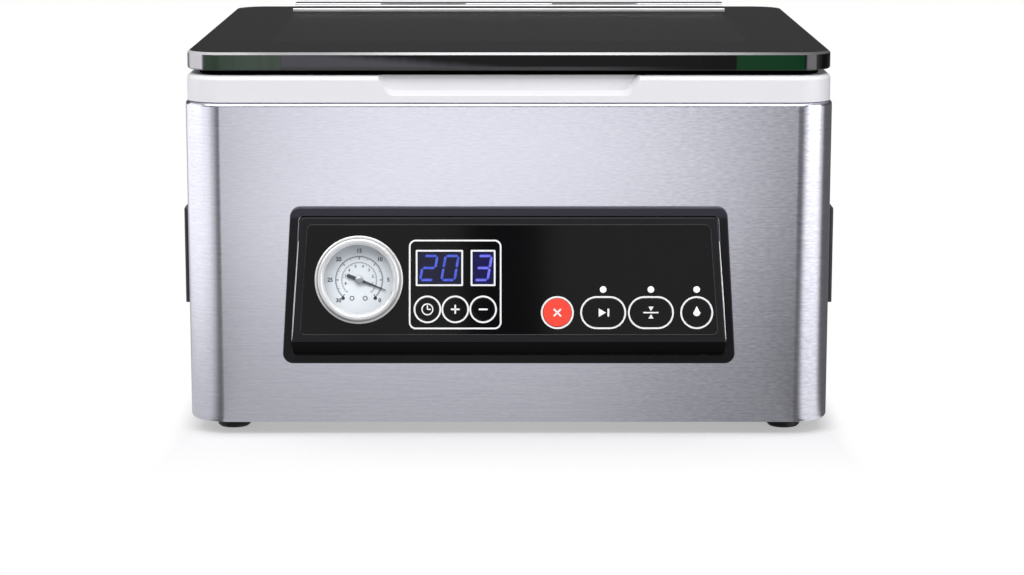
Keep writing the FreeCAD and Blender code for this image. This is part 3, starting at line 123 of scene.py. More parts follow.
def grain(place, cells, detail=2.0):
    """Noise about zero, within a half: so many cells to the metre, all ways or along each axis."""
    axes = cells if isinstance(cells, tuple) else (cells, cells, cells)
    stretched = place.node("ShaderNodeMapping", {}, {"Vector": place, "Scale": axes})
    noise = place.node("ShaderNodeTexNoise", {},
                       {"Vector": stretched, "Scale": 1.0, "Detail": detail})
    return noise - 0.5


def ease(reading, start, end):
    """Goes smoothly from 0 where the reading is at start to 1 where it is at end."""
    return reading.node("ShaderNodeMapRange", {"interpolation_type": "SMOOTHSTEP"},
                        {"Value": reading, "From Min": start, "From Max": end})


def hump(reading, rise, fall):
    """Goes from 0 to 1 over the first pair of readings, and back to 0 over the second."""
    return ease(reading, *rise) * (1.0 - ease(reading, *fall))


def axis_of(place, axis):
    """One coordinate of a place: X, Y or Z."""
    return place.node("ShaderNodeSeparateXYZ", {}, {0: place}, output=axis)


def between(amount, first, second):
    """Colour between two colours or readings of colours, by an amount from 0 to 1."""
    ends = [(*end, 1.0) if isinstance(end, tuple) else end for end in (first, second)]
    links = {0: amount, 6: ends[0], 7: ends[1]}
    return amount.node("ShaderNodeMix", {"data_type": "RGBA"}, links, output=2)


def tint(amount, shader, first, second):
    """Base colour between two colours, by an amount from 0 to 1."""
    between(amount, first, second).feeds(shader.inputs["Base Color"])


def roughen(amount, shader):
    """Roughness that changes over the surface."""
    amount.feeds(shader.inputs["Roughness"])


def relief(height, shader, depth, strength=1.0):
    """Bump of this depth in metres for each unit of height."""
    bumped = height.node("ShaderNodeBump", {},
                         {"Strength": strength, "Distance": depth, "Height": height})
    bumped.feeds(shader.inputs["Normal"])


def put(name, mesh, body):
    """A mesh as a piece of the scene, riding a body, with the slot of its finish."""
    piece = bpy.data.objects.new(name, mesh)
    bpy.context.scene.collection.objects.link(piece)
    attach(piece, body)
    return piece


def dress(node, finish, slot, crease=32.0):
    """Copy of a solid's mesh, merged and smooth up to a crease angle; it stands for the solid."""
    source = frame["nodes"][node]
    mesh = source.data.copy()
    same_place = 2e-6
    weld = bmesh.new()
    weld.from_mesh(mesh)
    bmesh.ops.remove_doubles(weld, verts=weld.verts, dist=same_place)
    weld.to_mesh(mesh)
    weld.free()
    if "custom_normal" in mesh.attributes:
        mesh.attributes.remove(mesh.attributes["custom_normal"])
    mesh.shade_smooth()
    mesh.set_sharp_from_angle(angle=math.radians(crease))
    mesh.materials.clear()
    mesh.materials.append(finish)
    piece = put(node + ".dressed", mesh, source["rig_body"])
    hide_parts(node)
    flat = piece.modifiers.new("flat_faces", "WEIGHTED_NORMAL")
    flat.keep_sharp = True
    return piece


brushed_steel, shader, place = start_finish("brushed_steel", (0.84, 0.83, 0.86), 0.2, Metallic=1.0)
lines = grain(place, (40.0, 40.0, 1500.0))
fine_lines = grain(place, (110.0, 110.0, 3600.0))
specks = grain(place, (240.0, 240.0, 1150.0), 1.0)
clouds = grain(place, (5.0, 5.0, 11.0))
right_part = hump(axis_of(place, "X"), (0.02, 0.15), (0.172, 0.188))
strokes = lines * 0.6 + fine_lines * 0.5 + specks * (right_part * 1.2 + 0.5)
steel_dark = (0.66, 0.66, 0.76)
steel_pale = (0.90, 0.90, 1.0)
tint(strokes + 0.5, shader, steel_dark, steel_pale)
roughen(lines * 0.10 + clouds * 0.05 + 0.20, shader)
relief(lines + fine_lines * 0.5 + specks * 0.4, shader, 1.6e-5, 0.8)
dress("steel_wrapper", brushed_steel, "brushed_steel")


# Floor plate and pump tray: galvanised sheet with its faint crystal pattern. The plate lies inside
# the wall's bottom edge, and carries the tray on rubber mounts.
zinc_sheet, shader, place = start_finish("zinc_sheet", (0.52, 0.53, 0.54), 0.42, Metallic=1.0)
crystals = grain(place, 70.0, 1.0)
tint(crystals + 0.5, shader, (0.42, 0.43, 0.45), (0.62, 0.63, 0.64))
roughen(crystals * 0.3 + 0.42, shader)
dress("base_pan", zinc_sheet, "zinc_sheet")
dress("pump_tray", zinc_sheet, "zinc_sheet")


# Feet: four moulded rubber buttons, each held by a screw from below. The rubber is matt, its
# tone drifting a little at random.
def shaded(colour, factor):
    """A colour made darker or lighter by a factor, up to full."""
    return tuple(min(channel * factor, 1.0) for channel in colour)


def moulded(name, colour, roughness, cell, depth, spread, **more):
    """Moulded material: a fine grain of this cell size in its relief, and a drift in its gloss."""
    finish, shader, place = start_finish(name, colour, roughness, **more)
    fine = grain(place, 1.0 / cell)
    broad = grain(place, 18.0)
    cloudy = fine * 0.5 + broad * 0.8 + 0.5
    tint(cloudy, shader, shaded(colour, 1.0 - spread), shaded(colour, 1.0 + spread))
    roughen(fine * 0.12 + broad * 0.10 + roughness, shader)
    relief(fine, shader, depth)
    return finish


black_rubber = moulded("black_rubber", (0.016, 0.016, 0.017), 0.62, 0.0006, 2e-5, 0.25)
dress("rubber_feet", black_rubber, "black_rubber")


# Screws of the feet, the rear cover, the hinge and the lid rail: zinc-plated pan heads, turned
# from steel. The lid's own are kept out of what the glass mirrors, as the rail is.
def turned_metal(name, colour, roughness, cell):
    """Bare metal with fine random tool marks of this cell size."""
    finish, shader, place = start_finish(name, colour, roughness, Metallic=1.0)
    marks = grain(place, 1.0 / cell, 3.0)
    tint(marks * 0.8 + 0.5, shader, shaded(colour, 0.88), shaded(colour, 1.1))
    roughen(marks * 0.16 + roughness, shader)
    relief(marks, shader, 6e-6)
    return finish


screw_steel = turned_metal("screw_steel", (0.56, 0.55, 0.53), 0.32, 0.0011)
for screws in ("foot_screws", "case_screws"):
    dress(screws, screw_steel, "screw_steel")
dress("rail_screws", screw_steel, "screw_steel").visible_glossy = False


# Rear cover: pressed sheet with rows of vent slots, coated in fine-textured black and screwed to
# the back of the case.
black_sheet = moulded("black_sheet", (0.020, 0.020, 0.021), 0.48, 0.0009, 4e-5, 0.2)
dress("rear_panel", black_sheet, "black_sheet")


# Side grips: moulded cups let into the steel sides for carrying, in satin black plastic with a
# spark-eroded grain.
black_plastic = moulded("black_plastic", (0.022, 0.022, 0.024), 0.40, 0.0007, 1.6e-5, 0.15)
for side in ("left", "right"):
    dress("side_grip_" + side, black_plastic, "black_plastic")


# Top deck: white moulded frame that lies on the steel wall and carries the lid, with a finger
# recess along its front edge. The plastic is smooth, with a faint cool tint.
white_plastic = moulded("white_plastic", (0.80, 0.80, 0.83), 0.34, 0.0040, 8e-7, 0.012)
dress("top_deck", white_plastic, "white_plastic")


# Chamber: deep-drawn stainless tub, satin polished, hung in the deck by its rim. It has a shelf
# for the seal bar at its front.
satin_steel, shader, place = start_finish("satin_steel", (0.60, 0.60, 0.61), 0.28, Metallic=1.0)
wall_lines = grain(place, (25.0, 25.0, 1300.0))
stains = grain(place, 11.0, 3.0)
tint(wall_lines * 0.7 + stains * 0.4 + 0.5, shader, (0.54, 0.54, 0.55), (0.67, 0.67, 0.68))
roughen(wall_lines * 0.10 + stains * 0.08 + 0.30, shader)
relief(wall_lines, shader, 1.0e-5, 0.7)
dress("chamber_tub", satin_steel, "satin_steel")


# Seal bar across the chamber's front shelf: an extruded bar with its flat heating strip, under a
# brown non-stick tape, on two posts that air lifts in their cylinders.
extruded_metal, shader, place = start_finish("extruded_metal", (0.74, 0.74, 0.75), 0.27,
                                             Metallic=1.0)
draw_lines = grain(place, (4.0, 1900.0, 1900.0))
tint(draw_lines * 0.8 + 0.5, shader, (0.66, 0.66, 0.67), (0.80, 0.80, 0.81))
roughen(draw_lines * 0.12 + 0.25, shader)
relief(draw_lines, shader, 1.0e-5)
dress("seal_bar", extruded_metal, "satin_steel")
dress("lift_posts", screw_steel, "satin_steel")
dress("lift_cylinders", extruded_metal, "cast_alloy")
dress("heating_strip", screw_steel, "satin_steel")

brown_tape, shader, place = start_finish("brown_tape", (0.30, 0.17, 0.085), 0.5)
threads = {"Vector": place, "Scale": 420.0}
weave_along = place.node("ShaderNodeTexWave", {"bands_direction": "X"}, threads)
weave_across = place.node("ShaderNodeTexWave", {"bands_direction": "Y"}, threads)
weave = weave_along * weave_across
tint(weave, shader, (0.22, 0.12, 0.06), (0.36, 0.21, 0.11))
roughen(weave * 0.15 + 0.40, shader)
relief(weave, shader, 2.5e-5)
dress("ptfe_tape", brown_tape, "brown_tape")


# Lid: a thick plate of smoked glass with polished edges and a ground bevel along the top. The
# edge's
# colour is painted light: painted green light through the plate near the corners, a painted
# highlight on the left corner, a painted grey reflection at the left, painted dark from the middle
# on, and a paler line low down, a painted reflection of the white deck. The bevel's colour is a
# painted highlight.
smoked_glass, shader, place = start_finish("smoked_glass", (0.55, 0.55, 0.56), 0.06,
                                           Transmission_Weight=1.0, IOR=1.5)
smears = grain(place, (9.0, 16.0, 9.0), 4.0)
roughen(smears * 0.05 + 0.065, shader)

# Painted light on the edge: grey and dark painted reflections, a pale painted reflection of the
# deck low down, green painted light near the corners and a painted highlight on the left corner.
edge_painted_reflection_grey = (0.062, 0.061, 0.072)
edge_painted_reflection_dark = (0.0012, 0.0014, 0.0020)
edge_painted_deck_reflection = (0.046, 0.046, 0.049)
green_painted_light_pale = (0.052, 0.070, 0.058)
green_painted_light_dark = (0.010, 0.030, 0.012)
green_painted_light_deep = (0.003, 0.034, 0.011)
corner_painted_highlight = (0.60, 0.585, 0.62)
corner_painted_reflection_grey = (0.125, 0.124, 0.128)
glass_edge_painted_light, shader, place = start_finish("glass_edge_painted_light", edge_painted_reflection_dark, 0.12, Specular_IOR_Level=0.15)
lid_low, lid_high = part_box("lid_glass")
across = axis_of(place, "X")
lower = (lid_high.z - axis_of(place, "Z")) * (1.0 / (lid_high.z - lid_low.z))
from_left = across - lid_low.x
from_right = lid_high.x - across
streaks = grain(place, (260.0, 260.0, 8.0), 1.0)
green_reach = 0.057
left_end = 0.0015
left_corner = 0.0112
right_corner = 0.0163
corner_reflection_start = 0.0092
soft_step = 0.0014


def stretch(reading, start, end):
    """1 between two places and 0 outside them, with soft ends."""
    return hump(reading, (start, start + soft_step), (end - soft_step, end))


to_painted_dark = ease(across - lower * 0.12 + streaks * 0.015, -0.15, -0.08)
painted_deck_reflection_line = ease(lower, 0.72, 0.86) * (1.0 - ease(across, 0.03, 0.11))
edge_painted_light_colour = between(to_painted_dark, edge_painted_reflection_grey, edge_painted_reflection_dark)
edge_painted_light_colour = between(painted_deck_reflection_line, edge_painted_light_colour, edge_painted_deck_reflection)
left_painted_green_light = stretch(from_left, left_corner, green_reach)
edge_painted_light_colour = between(left_painted_green_light, edge_painted_light_colour, green_painted_light_dark)
left_painted_green_light = left_painted_green_light * (ease(from_left, 0.012, 0.035) * 0.6 + 0.4)
edge_painted_light_colour = between(left_painted_green_light * (0.9 + streaks * 0.5), edge_painted_light_colour, green_painted_light_pale)
edge_painted_light_colour = between(stretch(from_right, right_corner, green_reach), edge_painted_light_colour, green_painted_light_deep)
edge_painted_light_colour = between(stretch(from_right, corner_reflection_start, right_corner), edge_painted_light_colour, corner_painted_reflection_grey)
edge_painted_light_colour = between(stretch(from_left, left_end, left_corner), edge_painted_light_colour, corner_painted_highlight)
edge_painted_light_colour.feeds(shader.inputs["Base Color"])
roughen(streaks * 0.06 + 0.12, shader)

# The ground bevel's colour is a painted highlight along its length: pale at the far left, grey at
# the left, white in the middle and dark towards the right.
ground_bevel_painted_highlight, shader, place = start_finish("ground_bevel_painted_highlight", (0.50, 0.49, 0.51), 0.32)
grinding = grain(place, 900.0)
along_bevel = axis_of(place, "X") + grinding * 0.02
bevel_painted_highlight = (0.66, 0.65, 0.67)
bevel_painted_grey_reflection = (0.30, 0.30, 0.31)
bevel_painted_dark_reflection = (0.075, 0.075, 0.080)
bevel_painted_pale_reflection = (0.46, 0.45, 0.47)
bevel_painted_light = between(ease(along_bevel, 0.05, 0.185), bevel_painted_highlight, bevel_painted_dark_reflection)
for start, end, left_painted_reflection in ((-0.12, -0.03, bevel_painted_grey_reflection), (-0.16, -0.135, bevel_painted_pale_reflection)):
    bevel_painted_light = between(1.0 - ease(along_bevel, start, end), bevel_painted_light, left_painted_reflection)
bevel_painted_light.feeds(shader.inputs["Base Color"])
roughen(grinding * 0.2 + 0.32, shader)


def face_trait(piece, trait):
    """A trait of a piece's faces, one row each: their normal, center or area."""
    faces = piece.data.polygons
    values = np.empty(len(faces) * (1 if trait == "area" else 3), np.float32)
    faces.foreach_get(trait, values)
    return values.reshape(len(faces), -1).astype(float)


def paint_faces(piece, others, choice):
    """Gives a piece more finishes, and each face the one that its number chooses."""
    for finish in others:
        piece.data.materials.append(finish)
    piece.data.polygons.foreach_set("material_index", choice.astype(np.int32))


lid = dress("lid_glass", smoked_glass, "smoked_glass", 20.0)
faces_up = face_trait(lid, "normal")[:, 2]
nearly_level = 0.95
bevel_least = 0.3
is_plate = np.abs(faces_up) > nearly_level
is_bevel = (faces_up > bevel_least) & ~is_plate
paint_faces(lid, (glass_edge_painted_light, ground_bevel_painted_highlight), np.where(is_plate, 0, np.where(is_bevel, 2, 1)))


# Border printed under the lid: black ceramic ink with a clear window over the chamber. The
# window's front corners are nearly square.
def piece_of(name, points, faces, finish, body, smooth=False):
    """A new piece from an array of points and lists of faces, turned outwards, riding a body."""
    mesh = bpy.data.meshes.new(name)
    mesh.from_pydata(points.reshape(-1, 3).tolist(), [], faces)
    turn = bmesh.new()
    turn.from_mesh(mesh)
    bmesh.ops.recalc_face_normals(turn, faces=turn.faces)
    turn.to_mesh(mesh)
    turn.free()
    mesh.materials.append(finish)
    if smooth:
        sharp_from = 35.0
        mesh.shade_smooth()
        mesh.set_sharp_from_angle(angle=math.radians(sharp_from))
    return put(name, mesh, body)


def rounded_path(half_width, half_height, radius, steps=10):
    """Points once round a rounded rectangle: four quarter circles, joined by the straight sides."""
    turn = np.linspace(0.0, 0.5 * math.pi, steps)
    corner = np.array([[1, 1], [-1, 1], [-1, -1], [1, -1]])
    angle = turn + 0.5 * math.pi * np.arange(4)[:, None]
    arcs = radius * np.stack([np.cos(angle), np.sin(angle)], axis=-1)
    middles = corner * [half_width - radius, half_height - radius]
    return (arcs + middles[:, None, :]).reshape(-1, 2)


def wrap_faces(rows, columns):
    """Quads that join each ring of points to the next, and the last ring to the first."""
    row, column = np.meshgrid(np.arange(rows), np.arange(columns), indexing="ij")
    next_row = (row + 1) % rows
    next_column = (column + 1) % columns
    quads = np.stack([row * columns + column, row * columns + next_column,
                      next_row * columns + next_column, next_row * columns + column], axis=-1)
    return quads.reshape(-1, 4).tolist()


def capped_faces(rows, columns):
    """Quads that join each ring of points to the next, and one face over each end ring."""
    last = (rows - 1) * columns
    ends = [list(range(columns)), list(range(last, last + columns))]
    return wrap_faces(rows, columns)[:last] + ends


def band_rings(outer, inner, low, high):
    """Four rings of a flat band: outer outline low, outer high, inner high and inner low."""
    stages = [(outer, low), (outer, high), (inner, high), (inner, low)]
    return [np.column_stack([outline, np.full(len(outline), level)]) for outline, level in stages]


black_ink = moulded("black_ink", (0.007, 0.007, 0.0075), 0.35, 0.0008, 4e-6, 0.2)
border_low = lid_low.z + 0.0002
border_high = lid_low.z + 0.0005
border_inset = 0.0004
window_half = 0.1465
window_front = lid_low.y + 0.0805
window_rear = lid_high.y - 0.030
window_radius = 0.004
lid_radius = 0.020
lid_half_depth = 0.5 * (lid_high.y - lid_low.y)
border_outer = rounded_path(lid_high.x - border_inset, lid_half_depth - border_inset, lid_radius)
border_outer = border_outer + [0.0, 0.5 * (lid_low.y + lid_high.y)]
border_inner = rounded_path(window_half, 0.5 * (window_rear - window_front), window_radius)
border_inner = border_inner + [0.0, 0.5 * (window_rear + window_front)]
border_points = np.array(band_rings(border_outer, border_inner, border_low, border_high))
border_faces = wrap_faces(*border_points.shape[:2])
piece_of("lid_border", border_points, border_faces, black_ink, "lid")


# Lid seal: soft black rubber ring under the glass, pressed on the deck when the lid is down. Its
# matt skin hardly mirrors anything. Its black is the rubber's own, and, far darker than the feet's
# rubber, also painted shade of the gap under the lid.
gasket_painted_shade_rubber = moulded("gasket_painted_shade_rubber", (0.0018, 0.0018, 0.0020), 0.8, 0.0006, 2e-5, 0.25,
                        Specular_IOR_Level=0.03)
dress("lid_gasket", gasket_painted_shade_rubber, "black_rubber")


# Hinge: a stepped metal rail clamped on the glass, bright on the front edges of its two treads,
# while the treads carry a painted dark reflection. Its rear part, its knuckles and the bracket
# behind the deck are coated white. The rail's underside is lifted clear of the glass's plane.
def vertices_of(mesh):
    """A mesh's vertices as an array, one row each."""
    places = np.empty(len(mesh.vertices) * 3, np.float32)
    mesh.vertices.foreach_get("co", places)
    return places.reshape(-1, 3).astype(float)


hinge_metal, shader, place = start_finish("hinge_metal", (0.84, 0.84, 0.85), 0.42, Metallic=1.0)
rail_lines = grain(place, (3.0, 1400.0, 1400.0))
tint(rail_lines * 0.7 + 0.5, shader, (0.80, 0.80, 0.81), (0.88, 0.88, 0.89))
roughen(rail_lines * 0.10 + 0.42, shader)
rail_low, rail_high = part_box("hinge_rail")
# The treads get a dark plain finish instead of the metal, a painted dark reflection, turning to the
# white coat towards the rear.
tread_painted_dark_and_coat, shader, place = start_finish("tread_painted_dark_and_coat", (0.030, 0.030, 0.032), 0.5,
                                        Specular_IOR_Level=0.15)
tread_grain = grain(place, 700.0)
coat_white = (0.86, 0.86, 0.87)
coat_start = 0.0285
coat_full = 0.0295
coated = ease(axis_of(place, "Y") - rail_low.y, coat_start, coat_full)
tread_painted_dark = between(tread_grain + 0.5, (0.027, 0.027, 0.029), (0.033, 0.033, 0.035))
tint(coated, shader, tread_painted_dark, coat_white)
roughen(tread_grain * 0.12 + 0.5, shader)
white_coat = moulded("white_coat", coat_white, 0.45, 0.0012, 3e-6, 0.02)
rail = dress("hinge_rail", hinge_metal, "hinge_metal")
knuckle_radius = 0.0055
is_tread = face_trait(rail, "normal")[:, 2] > 0.97
is_knuckle = face_trait(rail, "center")[:, 1] > rail_high.y - 2.0 * knuckle_radius
paint_faces(rail, (tread_painted_dark_and_coat, white_coat), np.where(is_knuckle, 2, np.where(is_tread, 1, 0)))
rail.visible_glossy = False
on_glass = 2e-5
rail_lift = 1e-4
rail_places = vertices_of(rail.data)
rail_places[np.abs(rail_places[:, 2] - lid_high.z) < on_glass, 2] += rail_lift
rail.data.vertices.foreach_set("co", rail_places.astype(np.float32).ravel())
dress("hinge_bracket", white_coat, "hinge_metal").visible_glossy = False
for metal_node in ("rail_clamp", "hinge_pin"):
    dress(metal_node, hinge_metal, "hinge_metal").visible_glossy = False


# Pad under the lid that the seal bar presses on: a red silicone strip, pushed into an extruded
# holder that is fixed to the glass.
red_silicone = moulded("red_silicone", (0.42, 0.035, 0.025), 0.5, 0.0009, 1.2e-5, 0.12)
dress("lid_seal_pad", red_silicone, "red_silicone")
dress("lid_pad_holder", extruded_metal, "satin_steel")


# Control panel: a trim frame on the steel front and the leaning housing in it, both moulded in
# satin black, with the glossy overlay let into the housing's face. The frame's top band carries a
# painted sheen, and the housing's down-facing faces a painted shade.
panel_black = moulded("panel_black", (0.0085, 0.0085, 0.0110), 0.36, 0.0006, 6e-6, 0.12,
                      Specular_IOR_Level=0.3)
# The frame's top band is painted lighter and bluer than the rest: a painted sheen.
frame_black_painted_sheen, shader, place = start_finish("frame_black_painted_sheen", (0.006, 0.006, 0.008), 0.36,
                                          Specular_IOR_Level=0.3)
frame_grain = grain(place, 1600.0)
frame_up = axis_of(place, "Z") + frame_grain * 0.001
frame_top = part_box("panel_frame")[1].z
band_low = 0.0075
band_high = 0.0045
top_painted_sheen = ease(frame_up, frame_top - band_low, frame_top - band_high)
tint(top_painted_sheen, shader, (0.0055, 0.0055, 0.0075), (0.026, 0.025, 0.038))
roughen(frame_grain * 0.12 + 0.36, shader)
relief(frame_grain, shader, 6e-6)
dress("panel_frame", frame_black_painted_sheen, "black_plastic")
housing = dress("panel_housing", panel_black, "black_plastic")
# Down-facing faces of the housing get a darker matt copy of its black: painted shade.
panel_painted_shade = moulded("panel_painted_shade", (0.0040, 0.0040, 0.0045), 0.7, 0.0006, 1e-5, 0.12,
                     Specular_IOR_Level=0.06)
underside = -0.12
paint_faces(housing, (panel_painted_shade,), face_trait(housing, "normal")[:, 2] < underside)

gloss_fascia, shader, place = start_finish("gloss_fascia", (0.0012, 0.0013, 0.0018), 0.07)
haze = grain(place, 30.0, 3.0)
roughen(haze * 0.04 + 0.075, shader)
tint(haze + 0.5, shader, (0.0010, 0.0011, 0.0015), (0.0014, 0.0015, 0.0021))
fascia = dress("panel_fascia", gloss_fascia, "gloss_fascia")


# Print on the overlay: white outlines round the time group, its windows and the keys, screened
# on the face in a thick ink.
def facing(piece, chosen):
    """The way a piece's chosen faces look: the sum of their normals by area, made one long."""
    weight = face_trait(piece, "area") * chosen[:, None]
    out = (face_trait(piece, "normal") * weight).sum(axis=0)
    return out / np.linalg.norm(out)


panel_out = facing(fascia, face_trait(fascia, "normal")[:, 1] < -0.9)
panel_across = np.array([1.0, 0.0, 0.0])
panel_up = np.cross(panel_out, panel_across)
fascia_places = vertices_of(frame["nodes"]["panel_fascia"].data)
fascia_level = (fascia_places @ panel_out).max()
fascia_heights = fascia_places @ panel_up
fascia_middle = 0.5 * (fascia_heights.max() + fascia_heights.min())


def on_panel(flat):
    """Points (across, up, out) on the leaning face, from its middle, to places in the frame."""
    across, up, out = np.moveaxis(np.asarray(flat, float), -1, 0)
    return (across[..., None] * panel_across + (up + fascia_middle)[..., None] * panel_up
            + (out + fascia_level)[..., None] * panel_out)


def level_of(node):
    """How far a node's top stands out from the overlay's face."""
    return (vertices_of(frame["nodes"][node].data) @ panel_out).max() - fascia_level


ink_sunk = 2e-5
ink_proud = 6e-5
white_ink = moulded("white_ink", (0.90, 0.90, 0.91), 0.40, 0.0005, 3e-6, 0.02)


def printed_outline(name, middle, size, radius, line, body="case", level=0.0, lay=on_panel,
                    ink=white_ink):
    """Band of ink along a rounded rectangle of this outer size and corner radius, on a face."""
    half = 0.5 * np.array(size)
    outer = rounded_path(half[0], half[1], radius) + middle
    inner = rounded_path(half[0] - line, half[1] - line, max(radius - line, 1e-5)) + middle
    rings = lay(np.array(band_rings(outer, inner, level - ink_sunk, level + ink_proud)))
    return piece_of(name, rings, wrap_faces(*rings.shape[:2]), ink, body)


outline_line = 0.00095
window_line = 0.0010
ring_line = 0.0010
printed_outline("time_group_outline", (-0.0313, -0.00268), (0.0540, 0.05225), 0.004, outline_line)
two_digit_middle = (-0.0405, 0.00695)
one_digit_middle = (-0.0150, 0.00695)
printed_outline("two_digit_outline", two_digit_middle, (0.0276, 0.0211), 0.0006, window_line)
printed_outline("one_digit_outline", one_digit_middle, (0.0145, 0.0211), 0.0006, window_line)

time_key_height = -0.0172
mode_key_height = -0.0191
time_ring = 0.0161
mode_ring = 0.0192
long_ring = 0.0268
key_places = {
    "key_set": (-0.0475, time_key_height, time_ring, time_ring),
    "key_plus": (-0.03125, time_key_height, time_ring, time_ring),
    "key_minus": (-0.0150, time_key_height, time_ring, time_ring),
    "key_cancel": (0.0283, mode_key_height, mode_ring, mode_ring),
    "key_auto": (0.05505, mode_key_height, long_ring, mode_ring),
    "key_seal": (0.0829, mode_key_height, long_ring, mode_ring),
    "key_marinate": (0.1096, mode_key_height, mode_ring, mode_ring),
}
for key, (across, up, width, height) in key_places.items():
    printed_outline(key + "_ring", (across, up), (width, height), 0.5 * height, ring_line)


# Beads of the housing: a fine moulded bead round the overlay, and a painted highlight on each side
# edge of the leaning face, a bright metal bead from where it leaves the frame down to its lower
# corner.
def bead(name, path, radius, level, finish, closed):
    """Round bead along a path on the face: a circle of this radius, square to the path."""
    along = np.roll(path, -1, axis=0) - np.roll(path, 1, axis=0)
    if not closed:
        along[[0, -1]] = path[-1] - path[0]
    along = along / np.linalg.norm(along, axis=1, keepdims=True)
    beside = np.column_stack([along[:, 1], -along[:, 0]])
    sides = 12
    turn = np.linspace(0.0, 2.0 * math.pi, sides, endpoint=False)
    thick = np.broadcast_to(radius, len(path))[:, None]
    flat = path[:, None, :] + (thick * np.cos(turn))[..., None] * beside[:, None, :]
    rings = np.concatenate([flat, (level + thick * np.sin(turn))[..., None]], axis=-1)
    faces = (wrap_faces if closed else capped_faces)(len(path), sides)
    return piece_of(name, on_panel(rings), faces, finish, "case", True)


bead_radius = 0.00035
bead_black = moulded("bead_black", (0.012, 0.012, 0.015), 0.26, 0.0006, 2e-6, 0.1)
fascia_half_width = fascia_places[:, 0].max()
fascia_half_height = 0.5 * (fascia_heights.max() - fascia_heights.min())
side_lean = 0.0648
bead_path = rounded_path(fascia_half_width, fascia_half_height, 0.003)
bead_path[:, 0] -= np.sign(bead_path[:, 0]) * side_lean * (bead_path[:, 1] + fascia_half_height)
bead("overlay_bead", bead_path, bead_radius, bead_radius, bead_black, True)

# The bright metal bead on each side edge is a painted highlight.
edge_painted_highlight = turned_metal("edge_painted_highlight", (0.80, 0.80, 0.81), 0.3, 0.0008)
edge_top = 0.0225
edge_length = 0.0575
edge_beside = 0.12425
edge_radius = 0.00042
edge_level = 0.00010
edge_fall = np.linspace(0.0, 1.0, 25)
edge_up = edge_top - edge_fall * edge_length
edge_thick = edge_radius * np.sin(math.pi * (0.06 + 0.88 * edge_fall)) ** 0.5
for name, side in (("painted_highlight_left", -1.0), ("painted_highlight_right", 1.0)):
    edge_path = np.column_stack([side * (edge_beside - side_lean * edge_up), edge_up])
    bead(name, edge_path, edge_thick, edge_level, edge_painted_highlight, False)


# Keys: soft caps in the overlay's own gloss black, and one in red. Plain signs stand on them:
# a clock, plus, minus, a cross, a play sign, two jaws on a seam, and a drop.
def printed_sign(name, outlines, middle, level, body, lay=on_panel, ink=white_ink):
    """Slabs of ink on closed outlines about a middle, laid on the panel's face or on another."""
    points = []
    faces = []
    for outline in outlines:
        start = sum(len(ring) for ring in points)
        count = len(outline)
        flat = np.asarray(outline, float) + middle
        points.append(np.column_stack([flat, np.full(count, level - ink_sunk)]))
        points.append(np.column_stack([flat, np.full(count, level + ink_proud)]))
        low = np.arange(start, start + count)
        high = low + count
        sides = np.stack([low, np.roll(low, -1), np.roll(high, -1), high], axis=-1)
        faces += [low.tolist(), high.tolist()] + sides.tolist()
    return piece_of(name, lay(np.concatenate(points)), faces, ink, body)


def bar(length, width, angle=0.0, offset=(0.0, 0.0)):
    """Round-ended bar about the middle, turned by an angle and moved by an offset."""
    ends = rounded_path(0.5 * length, 0.5 * width, 0.4999 * min(length, width), 5)
    turn = np.array([[math.cos(angle), math.sin(angle)], [-math.sin(angle), math.cos(angle)]])
    return ends @ turn + offset


def disc(radius, offset=(0.0, 0.0), steps=28):
    """Ring of points on a circle."""
    angle = np.linspace(0.0, 2.0 * math.pi, steps, endpoint=False)
    return radius * np.stack([np.cos(angle), np.sin(angle)], axis=-1) + offset


def triangle(size, angle, offset=(0.0, 0.0)):
    """Three corners on a circle of this size, the first at the angle."""
    corners = angle + 2.0 * math.pi / 3.0 * np.arange(3)
    return size * np.stack([np.cos(corners), np.sin(corners)], axis=-1) + offset


def drop(size):
    """Round below and pointed above: a circle whose upper half narrows to a point."""
    angle = np.linspace(-0.5 * math.pi, 1.5 * math.pi, 32, endpoint=False)
    rise = np.clip(np.sin(angle), 0.0, 1.0)
    across = np.cos(angle) * (1.0 - 0.55 * rise)
    return size * np.stack([across, np.sin(angle) + 0.8 * rise ** 3], axis=-1)


red_plastic, shader, place = start_finish("red_key", (0.92, 0.070, 0.045), 0.25)
key_haze = grain(place, 400.0)
tint(key_haze + 0.5, shader, (0.88, 0.064, 0.041), (0.95, 0.078, 0.050))
roughen(key_haze * 0.06 + 0.25, shader)

sign_bar = 0.0010
hand_line = 0.0007
upright = 0.5 * math.pi
slanted = 0.25 * math.pi
key_signs = {
    "key_set": [bar(0.0026, hand_line, upright, (0.0, 0.0011)),
                bar(0.0022, hand_line, 0.0, (0.0009, 0.0))],
    "key_plus": [bar(0.0054, sign_bar, upright), bar(0.0054, sign_bar)],
    "key_minus": [bar(0.0054, sign_bar)],
    "key_cancel": [bar(0.0062, sign_bar, slanted), bar(0.0062, sign_bar, -slanted)],
    "key_auto": [triangle(0.0029, 0.0, (-0.0012, 0.0)),
                 bar(0.0047, 0.0011, upright, (0.0030, 0.0))],
    "key_seal": [bar(0.0090, 0.0008), triangle(0.0017, -upright, (0.0, 0.0026)),
                 triangle(0.0017, upright, (0.0, -0.0026))],
    "key_marinate": [drop(0.0021)],
}
cap_finishes = {"key_cancel": (red_plastic, "red_plastic")}
for key, outlines in key_signs.items():
    dress(key, *cap_finishes.get(key, (gloss_fascia, "gloss_fascia")))
    across, up, width, height = key_places[key]
    printed_sign(key + "_sign", outlines, (across, up), level_of(key), key + "_cap")
clock_size = 0.0070
printed_outline("key_set_clock", key_places["key_set"][:2], (clock_size, clock_size),
                0.5 * clock_size, hand_line, "key_set_cap", level_of("key_set"))


